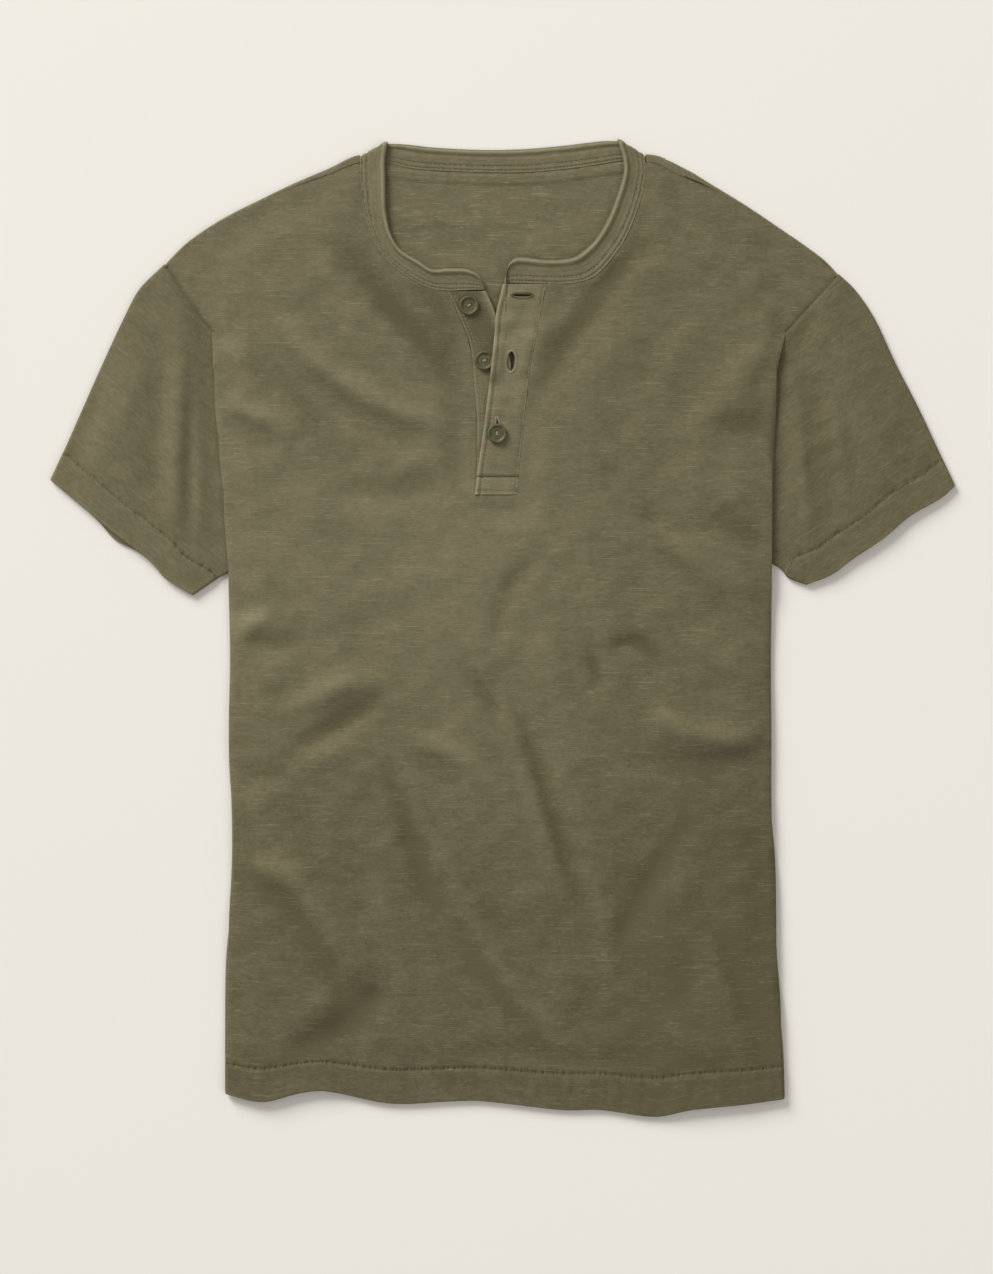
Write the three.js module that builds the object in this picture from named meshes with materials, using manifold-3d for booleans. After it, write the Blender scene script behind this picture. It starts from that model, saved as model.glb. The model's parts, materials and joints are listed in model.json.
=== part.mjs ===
// A men's short-sleeved henley shirt in slub jersey, laid flat on its back.
// Millimetres. +X is to the right as seen from above, +Y runs from hem to neck, +Z is up.
// The shirt lies on z = 0. Its sides are folded under, and the sleeves run under the body there.
import * as THREE from 'three';
import { mergeVertices } from 'three/addons/utils/BufferGeometryUtils.js';
import Module from 'manifold-3d';

const wasm = await Module();
wasm.setup();

// Cloth and layers
const CLOTH = 1.1;
const SEAM_GAP = 0.3;
const PITCH = CLOTH + SEAM_GAP;
const BAND_THICKNESS = 1.8;
const PLACKET_THICKNESS = 1.4;
const HEM_RAISE = 0.45;
const BODY_HEM = 25;
const CUFF_HEM = 22.5;

// How the front floats over the back, and how wide its changes of level are
const NECK_LIFT = 1.0;
const CHEST_LIFT = 2.0;
const SIDE_RAMP = 35;
const TUCK_MARGIN = 16;

// Where the front lies close to the back: by the slit, the neck, the shoulders and the sides
const SLIT_CALM = { x1: -6, y1: 112, x2: -10, y2: 265, reach: 26, fade: 45 };
const NECK_CALM = { y: 335, stretch: 1.1, reach: 112, fade: 45 };
const SHOULDER_FADE = 40;
const SIDE_FADE = 30;
const PINCH_FADE = 40;
const HEM_SHARE = 0.4;
const STACK_CALM = 0.12;
const TROUGH_SHARE = 0.8;

// Levels on the body: the stretch that lies on the sleeves, and the one below them
const PINCH_Y = 226.5;
const TUCK_START_Y = 200;
const SLEEVE_END_Y = 38;
const BELOW_SLEEVE_Y = 13;
const BACK_TUCK_START_Y = 2;
const BACK_OVER_SLEEVE = 3 * PITCH;
const BACK_OVER_TUCK = 2 * PITCH;
const TUCK_OVER_SLEEVE = 2 * PITCH;

// Shoulder fold, where the back panel rolls over to the front
const SHOULDER_TOP = PITCH + NECK_LIFT + CLOTH;
const SHOULDER_RADIUS = SHOULDER_TOP / 2;
const ROLL_DRAWN = 6;
const NECK_CLEAR = 1.3;

// Buttons
const BUTTON_RADIUS = 7.5;
const BUTTON_THICKNESS = 2.5;
const BUTTON_HOLE_RADIUS = 1.0;
const BUTTON_HOLE_SPACING = 3.4;

// Plackets
const UNDER_PLACKET_Z = PITCH + NECK_LIFT;
const UPPER_PLACKET_Z = UNDER_PLACKET_Z + PLACKET_THICKNESS + SEAM_GAP;
const SLOT_END_Y = 114.4;
const BUTTON_BUMP = BUTTON_THICKNESS + SEAM_GAP;
const BUTTON_BUMP_REACH = 11;

// Body sides from hem to armhole: left and right fold lines, and the width folded under
const BODY_SIDES = [
  { y: -375, left: -211.6, right: 215.6, tuck: 53 },
  { y: -315, left: -211.5, right: 213.8, tuck: 53 },
  { y: -254, left: -210.8, right: 210.0, tuck: 53 },
  { y: -193, left: -207.0, right: 208.5, tuck: 53 },
  { y: -132, left: -206.9, right: 205.4, tuck: 53 },
  { y: -86, left: -209.2, right: 205.4, tuck: 53 },
  { y: -25, left: -207.7, right: 204.6, tuck: 53 },
  { y: 40, left: -209.6, right: 206.2, tuck: 52 },
  { y: 111, left: -214.0, right: 206.9, tuck: 43 },
  { y: 159, left: -218.4, right: 208.1, tuck: 31 },
  { y: 200, left: -221.0, right: 210.6, tuck: 8 },
  { y: PINCH_Y, left: -222.2, right: 216.9, tuck: 2 },
];

// The shoulder points, where the armhole seams reach the outline, and how far past them
// the panels are drawn before the seams trim them
const SHOULDER_LEFT = { x: -258.2, y: 277.3 };
const SHOULDER_RIGHT = { x: 256.7, y: 269.7 };
const DRAWN_PAST = 8;

// Top outline from shoulder point to shoulder point, level across the neck,
// and how far the back panel shows on the front before the shoulder seam
const SHOULDER_LINE = [
  { x: -277.3, y: 258.2, roll: 0.2 },
  { x: -258.2, y: 277.3, roll: 0.2 },
  { x: -243.7, y: 292.0, roll: 0.2 },
  { x: -227.6, y: 304.1, roll: 0.2 },
  { x: -208.5, y: 315.6, roll: 0.2 },
  { x: -185.5, y: 327.0, roll: 0.3 },
  { x: -161.8, y: 338.5, roll: 1.0 },
  { x: -135.0, y: 350.0, roll: 2.6 },
  { x: -106.7, y: 361.5, roll: 4.4 },
  { x: 112.8, y: 361.5, roll: 4.0 },
  { x: 141.1, y: 350.0, roll: 4.4 },
  { x: 160.3, y: 338.5, roll: 1.2 },
  { x: 179.4, y: 327.0, roll: 0.3 },
  { x: 197.0, y: 315.6, roll: 0.2 },
  { x: 213.8, y: 304.1, roll: 0.2 },
  { x: 230.6, y: 292.6, roll: 0.2 },
  { x: 246.7, y: 280.4, roll: 0.2 },
  { x: 256.7, y: 269.7, roll: 0.2 },
  { x: 269.7, y: 257.0, roll: 0.2 },
];

// The hem edge as it lies
const HEM_LINE = [
  { x: -212, y: -356.1 },
  { x: -184, y: -362.2 },
  { x: -155, y: -355.6 },
  { x: -136, y: -353.9 },
  { x: -86, y: -363.6 },
  { x: -40, y: -362.0 },
  { x: -17, y: -361.7 },
  { x: 46, y: -368.6 },
  { x: 75, y: -368.6 },
  { x: 117, y: -373.7 },
  { x: 143, y: -368.6 },
  { x: 182, y: -364.5 },
  { x: 216, y: -359.9 },
];
const HEM_LEVEL = -362;
const HEM_BLEND = 60;

// Largest folds of the front: ridges stand up, troughs go down
const FRONT_FOLDS = [
  { x1: -154, y1: -68, x2: -72, y2: -8, half: 13, height: 3.4 },
  { x1: -160, y1: -92, x2: -92, y2: -60, half: 11, height: -2.0 },
  { x1: -166, y1: 243, x2: -30, y2: 148, half: 15, height: 2.6 },
  { x1: -160, y1: 196, x2: -46, y2: 120, half: 15, height: -1.8 },
  { x1: -208, y1: 162, x2: -150, y2: 135, half: 14, height: 2.0 },
  { x1: -120, y1: 292, x2: -40, y2: 200, half: 14, height: -1.6 },
  { x1: 117, y1: 296, x2: 38, y2: 192, half: 14, height: -1.6 },
  { x1: 205, y1: 258, x2: 165, y2: 160, half: 16, height: 2.4 },
  { x1: -10, y1: -50, x2: 58, y2: -220, half: 12, height: -1.8 },
  { x1: -55, y1: -90, x2: 44, y2: -322, half: 14, height: 2.4 },
  { x1: 113, y1: -63, x2: 200, y2: -74, half: 12, height: 2.6 },
  { x1: 105, y1: -100, x2: 200, y2: -98, half: 13, height: -1.6 },
  { x1: -193, y1: -180, x2: -105, y2: -274, half: 14, height: 2.6 },
  { x1: -162, y1: -327, x2: -92, y2: -276, half: 13, height: -1.8 },
  { x1: 136, y1: -155, x2: 90, y2: -240, half: 15, height: -1.8 },
  { x1: 166, y1: -240, x2: 204, y2: -330, half: 15, height: 2.2 },
];

// How high a fold still is at its ends
const FOLD_END_SHARE = 0.45;

// Sleeve outlines: shoulder edge, cuff, and lower edge with its hidden end at the underarm
const LEFT_SLEEVE = {
  side: -1,
  shoulder: SHOULDER_LEFT,
  edge: [
    { x: -277.3, y: 258.2 }, { x: -289.6, y: 235.2 }, { x: -305.6, y: 200.8 },
    { x: -320.9, y: 166.4 }, { x: -336.2, y: 132.0 }, { x: -345.2, y: 112.6 },
  ],
  cuff: [
    { x: -327.0, y: 97.5 }, { x: -299.5, y: 74.4 }, { x: -271.2, y: 52.6 },
    { x: -258.5, y: 38.6 }, { x: -245.2, y: 29.6 }, { x: -237.5, y: 25.4 },
  ],
  lower: [{ x: -222.0, y: 35.8 }, { x: -210.0, y: 42.5 }, { x: -164.1, y: 66.9 }],
  hidden: [{ x: -189.3, y: 158.7 }, { x: -173.0, y: 108.0 }],
  fold: { x1: -286, y1: 232, x2: -316, y2: 96, half: 15, height: 2.2 },
};
const RIGHT_SLEEVE = {
  side: 1,
  shoulder: SHOULDER_RIGHT,
  edge: [
    { x: 269.7, y: 257.0 }, { x: 284.2, y: 235.2 }, { x: 300.3, y: 200.8 },
    { x: 317.9, y: 166.4 }, { x: 333.9, y: 132.0 }, { x: 345.2, y: 107.5 },
  ],
  cuff: [
    { x: 333.9, y: 98.0 }, { x: 311.7, y: 85.3 }, { x: 291.0, y: 68.0 },
    { x: 268.0, y: 52.6 }, { x: 252.1, y: 40.8 }, { x: 232.6, y: 33.0 },
  ],
  lower: [{ x: 219.0, y: 38.6 }, { x: 208.5, y: 48.0 }, { x: 161.0, y: 66.9 }],
  hidden: [{ x: 184.5, y: 158.7 }, { x: 169.0, y: 108.0 }],
  fold: { x1: 240, y1: 240, x2: 290, y2: 100, half: 18, height: 1.4 },
};
const ABUT_END_Y = 203;

// Neckband: its sewn edge and its free edge, from the under placket round to the upper one.
// turn is 0 on the front, 1 on the back of the neck, and between them on the shoulder folds.
const NECKBAND = [
  { sewnX: -16.5, sewnY: 258.3, freeX: -18.3, freeY: 270.0, turn: 0 },
  { sewnX: -22.0, sewnY: 258.0, freeX: -22.5, freeY: 273.0, turn: 0 },
  { sewnX: -30.0, sewnY: 257.6, freeX: -29.0, freeY: 274.4, turn: 0 },
  { sewnX: -43.0, sewnY: 257.2, freeX: -42.0, freeY: 274.4, turn: 0 },
  { sewnX: -56.0, sewnY: 259.4, freeX: -53.5, freeY: 273.8, turn: 0 },
  { sewnX: -73.0, sewnY: 268.1, freeX: -63.5, freeY: 279.8, turn: 0 },
  { sewnX: -88.4, sewnY: 280.5, freeX: -77.2, freeY: 288.3, turn: 0 },
  { sewnX: -99.3, sewnY: 297.7, freeX: -85.2, freeY: 301.0, turn: 0 },
  { sewnX: -105.6, sewnY: 318.0, freeX: -88.8, freeY: 318.0, turn: 0 },
  { sewnX: -108.4, sewnY: 340.0, freeX: -89.4, freeY: 338.5, turn: 0 },
  { sewnX: -108.8, sewnY: 351.5, freeX: -89.6, freeY: 358.0, turn: 0 },
  { sewnX: -108.6, sewnY: 358.2, freeX: -87.6, freeY: 370.0, turn: 0 },
  { sewnX: -108.6, sewnY: 358.2, freeX: -87.6, freeY: 370.0, turn: 0.25 },
  { sewnX: -108.6, sewnY: 358.2, freeX: -87.6, freeY: 370.0, turn: 0.5 },
  { sewnX: -108.6, sewnY: 358.2, freeX: -87.6, freeY: 370.0, turn: 0.75 },
  { sewnX: -108.6, sewnY: 358.2, freeX: -87.6, freeY: 370.0, turn: 1 },
  { sewnX: -89.1, sewnY: 355.4, freeX: -77.0, freeY: 369.6, turn: 1 },
  { sewnX: -72.8, sewnY: 351.5, freeX: -65.0, freeY: 368.4, turn: 1 },
  { sewnX: -54.1, sewnY: 349.5, freeX: -50.0, freeY: 366.8, turn: 1 },
  { sewnX: -15.0, sewnY: 347.9, freeX: -15.0, freeY: 365.2, turn: 1 },
  { sewnX: 16.2, sewnY: 347.9, freeX: 16.2, freeY: 365.8, turn: 1 },
  { sewnX: 47.4, sewnY: 350.4, freeX: 46.0, freeY: 368.3, turn: 1 },
  { sewnX: 70.0, sewnY: 353.5, freeX: 65.0, freeY: 370.6, turn: 1 },
  { sewnX: 88.0, sewnY: 356.4, freeX: 78.0, freeY: 372.0, turn: 1 },
  { sewnX: 109.0, sewnY: 358.6, freeX: 87.6, freeY: 371.9, turn: 1 },
  { sewnX: 109.0, sewnY: 358.6, freeX: 87.6, freeY: 371.9, turn: 0.75 },
  { sewnX: 109.0, sewnY: 358.6, freeX: 87.6, freeY: 371.9, turn: 0.5 },
  { sewnX: 109.0, sewnY: 358.6, freeX: 87.6, freeY: 371.9, turn: 0.25 },
  { sewnX: 109.0, sewnY: 358.6, freeX: 87.6, freeY: 371.9, turn: 0 },
  { sewnX: 109.4, sewnY: 352.0, freeX: 91.8, freeY: 359.0, turn: 0 },
  { sewnX: 109.0, sewnY: 344.6, freeX: 92.4, freeY: 347.0, turn: 0 },
  { sewnX: 105.2, sewnY: 325.8, freeX: 88.1, freeY: 331.6, turn: 0 },
  { sewnX: 95.9, sewnY: 300.8, freeX: 80.2, freeY: 311.6, turn: 0 },
  { sewnX: 84.9, sewnY: 283.7, freeX: 70.8, freeY: 296.1, turn: 0 },
  { sewnX: 74.0, sewnY: 271.2, freeX: 60.6, freeY: 286.4, turn: 0 },
  { sewnX: 63.1, sewnY: 264.9, freeX: 54.0, freeY: 282.8, turn: 0 },
  { sewnX: 47.4, sewnY: 262.5, freeX: 44.5, freeY: 281.0, turn: 0 },
  { sewnX: 31.0, sewnY: 262.6, freeX: 31.0, freeY: 281.0, turn: 0 },
  { sewnX: 16.0, sewnY: 263.0, freeX: 17.0, freeY: 282.6, turn: 0 },
  { sewnX: 7.0, sewnY: 263.2, freeX: 9.5, freeY: 282.2, turn: 0 },
  { sewnX: 2.0, sewnY: 263.4, freeX: 4.6, freeY: 277.6, turn: 0 },
];

// Plackets, from the neckband down
const UNDER_PLACKET = [
  { y: 257.0, left: -42.4, right: -12.6 },
  { y: 241.4, left: -34.8, right: -5.9 },
  { y: 216.1, left: -24.9, right: 3.0 },
  { y: 193.9, left: -22.4, right: 7.0 },
  { y: 155.7, left: -19.6, right: 8.4 },
  { y: 115.0, left: -20.0, right: 6.0 },
];
const UPPER_PLACKET = [
  { y: 262.4, left: 0.6, right: 33.3 },
  { y: 255.5, left: -1.0, right: 32.0 },
  { y: 239.9, left: -4.6, right: 29.0 },
  { y: 223.8, left: -5.9, right: 26.2 },
  { y: 189.3, left: -9.6, right: 20.0 },
  { y: 151.1, left: -14.2, right: 16.0 },
  { y: 120.5, left: -18.7, right: 12.6 },
  { y: 101.4, left: -21.0, right: 11.4 },
];
const SLOT_OVERLAP = 3;
const PLACKET_STEPS = 12;

// Buttons and buttonholes
const BUTTONS = [
  { name: 'button_top', x: -25.6, y: 246.0, on: 'under' },
  { name: 'button_middle', x: -13.8, y: 203.9, on: 'under' },
  { name: 'button_bottom', x: -4.2, y: 148.0, on: 'upper' },
];
const BUTTONHOLES = [
  { x: 15.0, y: 253.6, length: 15, width: 1.2, turn: 0 },
  { x: 6.5, y: 203.2, length: 12, width: 3.8, turn: 86 },
  { x: -3.2, y: 151.6, length: 16, width: 1.6, turn: 98 },
];

// Colours
const JERSEY = { color: 0x6b6449, roughness: 0.95, metalness: 0 };
const JERSEY_LIGHT = { color: 0x746d52, roughness: 0.95, metalness: 0 };
const BUTTON_PLASTIC = { color: 0x4b4a30, roughness: 0.45, metalness: 0 };

// Small helpers
const lerp = (a, b, t) => a + (b - a) * t;
const clamp01 = (t) => Math.min(1, Math.max(0, t));
const smooth = (t) => {
  const s = clamp01(t);
  return s * s * (3 - 2 * s);
};
const spread = (count) => Array.from({ length: count + 1 }, (_, i) => i / count);

// A smooth function through the rows of a table, of one column by another
function through(rows, key, value) {
  const sorted = [...rows].sort((a, b) => a[key] - b[key]);
  const k = sorted.map((row) => row[key]);
  const v = sorted.map((row) => row[value]);
  const last = k.length - 1;
  const slope = v.map((_, i) => {
    const a = Math.max(0, i - 1);
    const b = Math.min(last, i + 1);
    return (v[b] - v[a]) / (k[b] - k[a]);
  });
  return (at) => {
    const t = Math.min(k[last], Math.max(k[0], at));
    let i = 0;
    while (i < last - 1 && t > k[i + 1]) i += 1;
    const h = k[i + 1] - k[i];
    const s = (t - k[i]) / h;
    const a = (1 + 2 * s) * (1 - s) * (1 - s) * v[i] + s * (1 - s) * (1 - s) * h * slope[i];
    const b = s * s * (3 - 2 * s) * v[i + 1] + s * s * (s - 1) * h * slope[i + 1];
    return a + b;
  };
}

const sideLeft = through(BODY_SIDES, 'y', 'left');
const sideRight = through(BODY_SIDES, 'y', 'right');
const tuckWidth = through(BODY_SIDES, 'y', 'tuck');
const shoulderY = through(SHOULDER_LINE, 'x', 'y');
const shoulderRoll = through(SHOULDER_LINE, 'x', 'roll');
const hemY = through(HEM_LINE, 'x', 'y');

// Slope of the shoulder line, and how much longer an upright step is than one square to it
function shoulderSlope(x) {
  const step = 2;
  return (shoulderY(x + step) - shoulderY(x - step)) / (2 * step);
}
const shoulderSlant = (x) => Math.hypot(1, shoulderSlope(x));

// How far along a stretch between two points a point lies, and how far away from it
function distanceTo(x, y, stretch) {
  const dx = stretch.x2 - stretch.x1;
  const dy = stretch.y2 - stretch.y1;
  const [px, py] = [x - stretch.x1, y - stretch.y1];
  const t = clamp01((px * dx + py * dy) / (dx * dx + dy * dy));
  return { along: t, away: Math.hypot(px - t * dx, py - t * dy) };
}

// Level of the underside of the back panel: flat in the middle, higher over what is tucked under
function backLevel(x, y) {
  const rise = smooth((PINCH_Y - y) / (PINCH_Y - ABUT_END_Y));
  const fall = smooth((SLEEVE_END_Y - y) / (SLEEVE_END_Y - BELOW_SLEEVE_Y));
  const height = lerp(BACK_OVER_SLEEVE, BACK_OVER_TUCK, fall) * rise;
  const inside = Math.min(x - sideLeft(y), sideRight(y) - x);
  return height * (1 - smooth((inside - tuckWidth(y) - TUCK_MARGIN) / SIDE_RAMP));
}

// Level of the folded-under strip of the front
function tuckLevel(y) {
  return TUCK_OVER_SLEEVE * smooth((y - BELOW_SLEEVE_Y) / (SLEEVE_END_Y - BELOW_SLEEVE_Y));
}

// The sum of the folds at a point, with troughs kept above the back panel
function foldHeight(x, y, room) {
  let sum = 0;
  for (const fold of FRONT_FOLDS) {
    const { along, away } = distanceTo(x, y, fold);
    const fade = lerp(FOLD_END_SHARE, 1, Math.sin(Math.PI * along));
    sum += fold.height * fade * Math.exp(-((away / fold.half) ** 2));
  }
  return sum < 0 ? -room * (1 - Math.exp(sum / room)) : sum;
}

// Level of the underside of the front panel
function frontLevel(x, y) {
  const inside = Math.min(x - sideLeft(Math.min(y, PINCH_Y)), sideRight(Math.min(y, PINCH_Y)) - x);
  const fromSide = smooth(inside / SIDE_FADE);
  const side = Math.max(fromSide, smooth((y - PINCH_Y + PINCH_FADE) / PINCH_FADE));
  const slit = smooth((distanceTo(x, y, SLIT_CALM).away - SLIT_CALM.reach) / SLIT_CALM.fade);
  const fromNeck = Math.hypot(x, (y - NECK_CALM.y) * NECK_CALM.stretch);
  const neck = smooth((fromNeck - NECK_CALM.reach) / NECK_CALM.fade);
  const top = smooth((shoulderY(x) - y) / SHOULDER_FADE);
  const hem = smooth((y - hemY(x)) / HEM_BLEND);
  const below = backLevel(x, y);
  const open = slit * neck * top * hem * fromSide * (1 - STACK_CALM * below);
  const lift = NECK_LIFT * side * lerp(HEM_SHARE, 1, hem) + (CHEST_LIFT - NECK_LIFT) * open;
  return below + PITCH + lift + open * foldHeight(x, y, TROUGH_SHARE * CHEST_LIFT);
}

// Rows of the body, from hem to shoulder: y up to the armholes, then w from 0 to 1 over the yoke
const HEM_ROWS = [0, 12, BODY_HEM - 1, BODY_HEM + 1].map((rise) => HEM_LEVEL + rise);
const BELLY_ROWS = spread(12).map((t) => lerp(HEM_LEVEL + 42, BACK_TUCK_START_Y, t));
const SLEEVE_ROWS = [
  BELOW_SLEEVE_Y, 25, SLEEVE_END_Y, 62, 87, 111, 135, 158, 176, 189, TUCK_START_Y, 210, PINCH_Y,
];
const YOKE_ROWS = [0.17, 0.33, 0.5, 0.67, 0.84, 1];
const BODY_ROWS = [
  ...[...HEM_ROWS, ...BELLY_ROWS, ...SLEEVE_ROWS].map((y) => ({ y, w: 0 })),
  ...YOKE_ROWS.map((w) => ({ y: PINCH_Y, w })),
];

// Columns across the body. The back keeps the front's columns near its sides only.
const COLUMNS = 26;
const SIDE_COLUMNS = 7;
const FRONT_ACROSS = spread(COLUMNS);
const BACK_ACROSS = FRONT_ACROSS.filter((_, i) => {
  const fromSide = Math.min(i, COLUMNS - i);
  return fromSide <= SIDE_COLUMNS || (fromSide - SIDE_COLUMNS) % 3 === 0 || 2 * i === COLUMNS;
});

// A point of the body between its two side lines. topInset lowers the shoulder line.
function bodyPoint(row, u, insetLeft, insetRight) {
  const [topLeft, topRight] = [SHOULDER_LEFT.x - DRAWN_PAST, SHOULDER_RIGHT.x + DRAWN_PAST];
  const left = lerp(sideLeft(row.y), topLeft, row.w) + insetLeft;
  const right = lerp(sideRight(row.y), topRight, row.w) - insetRight;
  const x = lerp(left, right, u);
  const topX = lerp(topLeft, topRight, u);
  const topY = shoulderY(topX) - SHOULDER_RADIUS * shoulderSlant(topX);
  const toHem = 1 - smooth((row.y - HEM_LEVEL) / HEM_BLEND);
  const level = row.y + toHem * (hemY(x) - HEM_LEVEL);
  return new THREE.Vector2(x, lerp(level, topY, row.w));
}

// A closed solid from rows of outer points and matching rows of inner points.
// Points that coincide are shared, and triangles that collapse are left out.
function wall(outer, inner, closedRows = false) {
  const points = [];
  const known = new Map();
  const index = (p) => {
    const key = [p.x, p.y, p.z].map((c) => Math.round(c * 1000)).join();
    if (!known.has(key)) {
      known.set(key, points.length);
      points.push(p);
    }
    return known.get(key);
  };
  const faces = [];
  const triangle = (a, b, c) => {
    const [i, j, k] = [index(a), index(b), index(c)];
    if (i !== j && j !== k && k !== i) faces.push(i, j, k);
  };
  const quad = (a, b, c, d) => {
    triangle(a, b, c);
    triangle(a, c, d);
  };
  const rows = outer.length;
  const columns = outer[0].length;
  const steps = closedRows ? columns : columns - 1;
  const next = (j) => (j + 1) % columns;
  for (let i = 0; i < rows - 1; i += 1) {
    for (let j = 0; j < steps; j += 1) {
      const k = next(j);
      quad(outer[i][j], outer[i][k], outer[i + 1][k], outer[i + 1][j]);
      quad(inner[i][j], inner[i + 1][j], inner[i + 1][k], inner[i][k]);
    }
    if (!closedRows) {
      const e = columns - 1;
      quad(outer[i][0], outer[i + 1][0], inner[i + 1][0], inner[i][0]);
      quad(outer[i][e], inner[i][e], inner[i + 1][e], outer[i + 1][e]);
    }
  }
  const z = rows - 1;
  for (let j = 0; j < steps; j += 1) {
    const k = next(j);
    quad(outer[0][j], inner[0][j], inner[0][k], outer[0][k]);
    quad(outer[z][j], outer[z][k], inner[z][k], inner[z][j]);
  }
  return facingOut(points, faces);
}

// A geometry from points and faces, turned so that its faces point out
function facingOut(points, faces) {
  let volume = 0;
  for (let f = 0; f < faces.length; f += 3) {
    const [a, b, c] = [points[faces[f]], points[faces[f + 1]], points[faces[f + 2]]];
    volume += a.dot(new THREE.Vector3().crossVectors(b, c));
  }
  if (volume < 0) faces.reverse();
  const geometry = new THREE.BufferGeometry();
  const flat = points.flatMap((p) => [p.x, p.y, p.z]);
  geometry.setAttribute('position', new THREE.Float32BufferAttribute(flat, 3));
  geometry.setIndex(faces);
  return geometry;
}

// Solids for joining and cutting
function toSolid(geometry) {
  const bare = geometry.clone();
  bare.deleteAttribute('normal');
  bare.deleteAttribute('uv');
  const merged = mergeVertices(bare, 1e-3);
  return new wasm.Manifold(new wasm.Mesh({
    numProp: 3,
    vertProperties: new Float32Array(merged.attributes.position.array),
    triVerts: new Uint32Array(merged.index.array),
  }));
}

function cut(geometry, cutters) {
  let solid = toSolid(geometry);
  for (const cutter of cutters) solid = solid.subtract(toSolid(cutter));
  const mesh = solid.getMesh();
  const result = new THREE.BufferGeometry();
  result.setAttribute('position', new THREE.Float32BufferAttribute(mesh.vertProperties, 3));
  result.setIndex(Array.from(mesh.triVerts));
  return result;
}

// An upright prism through the whole thickness of the shirt, or from a level up
function prism(outline, low = -10) {
  const shape = new THREE.Shape(outline.map((p) => new THREE.Vector2(p.x, p.y)));
  const geometry = new THREE.ExtrudeGeometry(shape, { depth: 40, bevelEnabled: false });
  return geometry.translate(0, 0, low);
}

// The two side folds of a row: a strip tucked under, then an arc up to the top.
// Returned from the strip's end to the top, as outer and inner points.
const TUCK_STEPS = 2;
const ARC_STEPS = 4;
function sideFold(y, edgeX, side, width, low, high, folded, levelX) {
  const outer = [];
  const inner = [];
  const radius = (high - low) / 2;
  const middle = low + radius;
  const centre = edgeX - side * radius;
  const push = (x, zOuter, zInner, xInner = x) => {
    outer.push(new THREE.Vector3(x, levelX(x, y), zOuter));
    inner.push(new THREE.Vector3(xInner, levelX(xInner, y), zInner));
  };
  for (let i = 0; i < TUCK_STEPS; i += 1) {
    if (folded) push(lerp(edgeX - side * width, centre, i / TUCK_STEPS), low, low + CLOTH);
    else push(edgeX, high, high - CLOTH);
  }
  for (let i = 0; i < ARC_STEPS; i += 1) {
    const angle = Math.PI * (i / ARC_STEPS);
    const out = Math.sin(angle);
    const up = -Math.cos(angle);
    if (folded) {
      const r = radius - CLOTH;
      push(centre + side * radius * out, middle + radius * up, middle + r * up, centre + side * r * out);
    } else {
      push(edgeX, high, high - CLOTH);
    }
  }
  return { outer, inner, radius: folded ? radius : 0 };
}

// A body panel: side folds on the rows where it is folded, and the top between them
function bodyPanel({ across, inset, foldedAt, low, level, raise }) {
  const outer = [];
  const inner = [];
  for (const row of BODY_ROWS) {
    const folded = row.w === 0 && foldedAt(row.y);
    const shift = inset(row);
    const hemShift = (x, y) => {
      const toHem = 1 - smooth((row.y - HEM_LEVEL) / HEM_BLEND);
      return y + toHem * (hemY(x) - HEM_LEVEL);
    };
    const ends = [-1, 1].map((side) => {
      const p = bodyPoint(row, side < 0 ? 0 : 1, shift, shift);
      const high = level(p.x, p.y) + CLOTH;
      const yOf = row.w === 0 ? hemShift : () => p.y;
      return sideFold(row.y, p.x, side, tuckWidth(row.y) - shift, low(row.y), high, folded, yOf);
    });
    const rowOuter = [...ends[0].outer];
    const rowInner = [...ends[0].inner];
    for (const u of across) {
      const p = bodyPoint(row, u, shift + ends[0].radius, shift + ends[1].radius);
      const z = level(p.x, p.y);
      rowOuter.push(new THREE.Vector3(p.x, p.y, z + CLOTH + raise(row)));
      rowInner.push(new THREE.Vector3(p.x, p.y, z));
    }
    rowOuter.push(...ends[1].outer.reverse());
    rowInner.push(...ends[1].inner.reverse());
    outer.push(rowOuter);
    inner.push(rowInner);
  }
  return { outer, inner };
}

// Neckband stations, with one more between those that lie far apart, on a smooth curve
const STATION_REACH = 9;
function bandStations() {
  const stations = [];
  const at = (i, key) => NECKBAND[Math.min(NECKBAND.length - 1, Math.max(0, i))][key];
  const mid = (i, key) => {
    const near = at(i, key) + at(i + 1, key);
    const turning = at(i, 'turn') !== at(i + 1, 'turn');
    const far = at(i - 1, key) + at(i + 2, key);
    return turning ? near / 2 : (9 * near - far) / 16;
  };
  for (let i = 0; i < NECKBAND.length; i += 1) {
    stations.push(NECKBAND[i]);
    const stepX = at(i + 1, 'sewnX') - at(i, 'sewnX');
    const stepY = at(i + 1, 'sewnY') - at(i, 'sewnY');
    if (Math.hypot(stepX, stepY) > STATION_REACH) {
      stations.push({
        sewnX: mid(i, 'sewnX'),
        sewnY: mid(i, 'sewnY'),
        freeX: mid(i, 'freeX'),
        freeY: mid(i, 'freeY'),
        turn: at(i, 'turn'),
      });
    }
  }
  return stations;
}
const BAND = bandStations();

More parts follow.
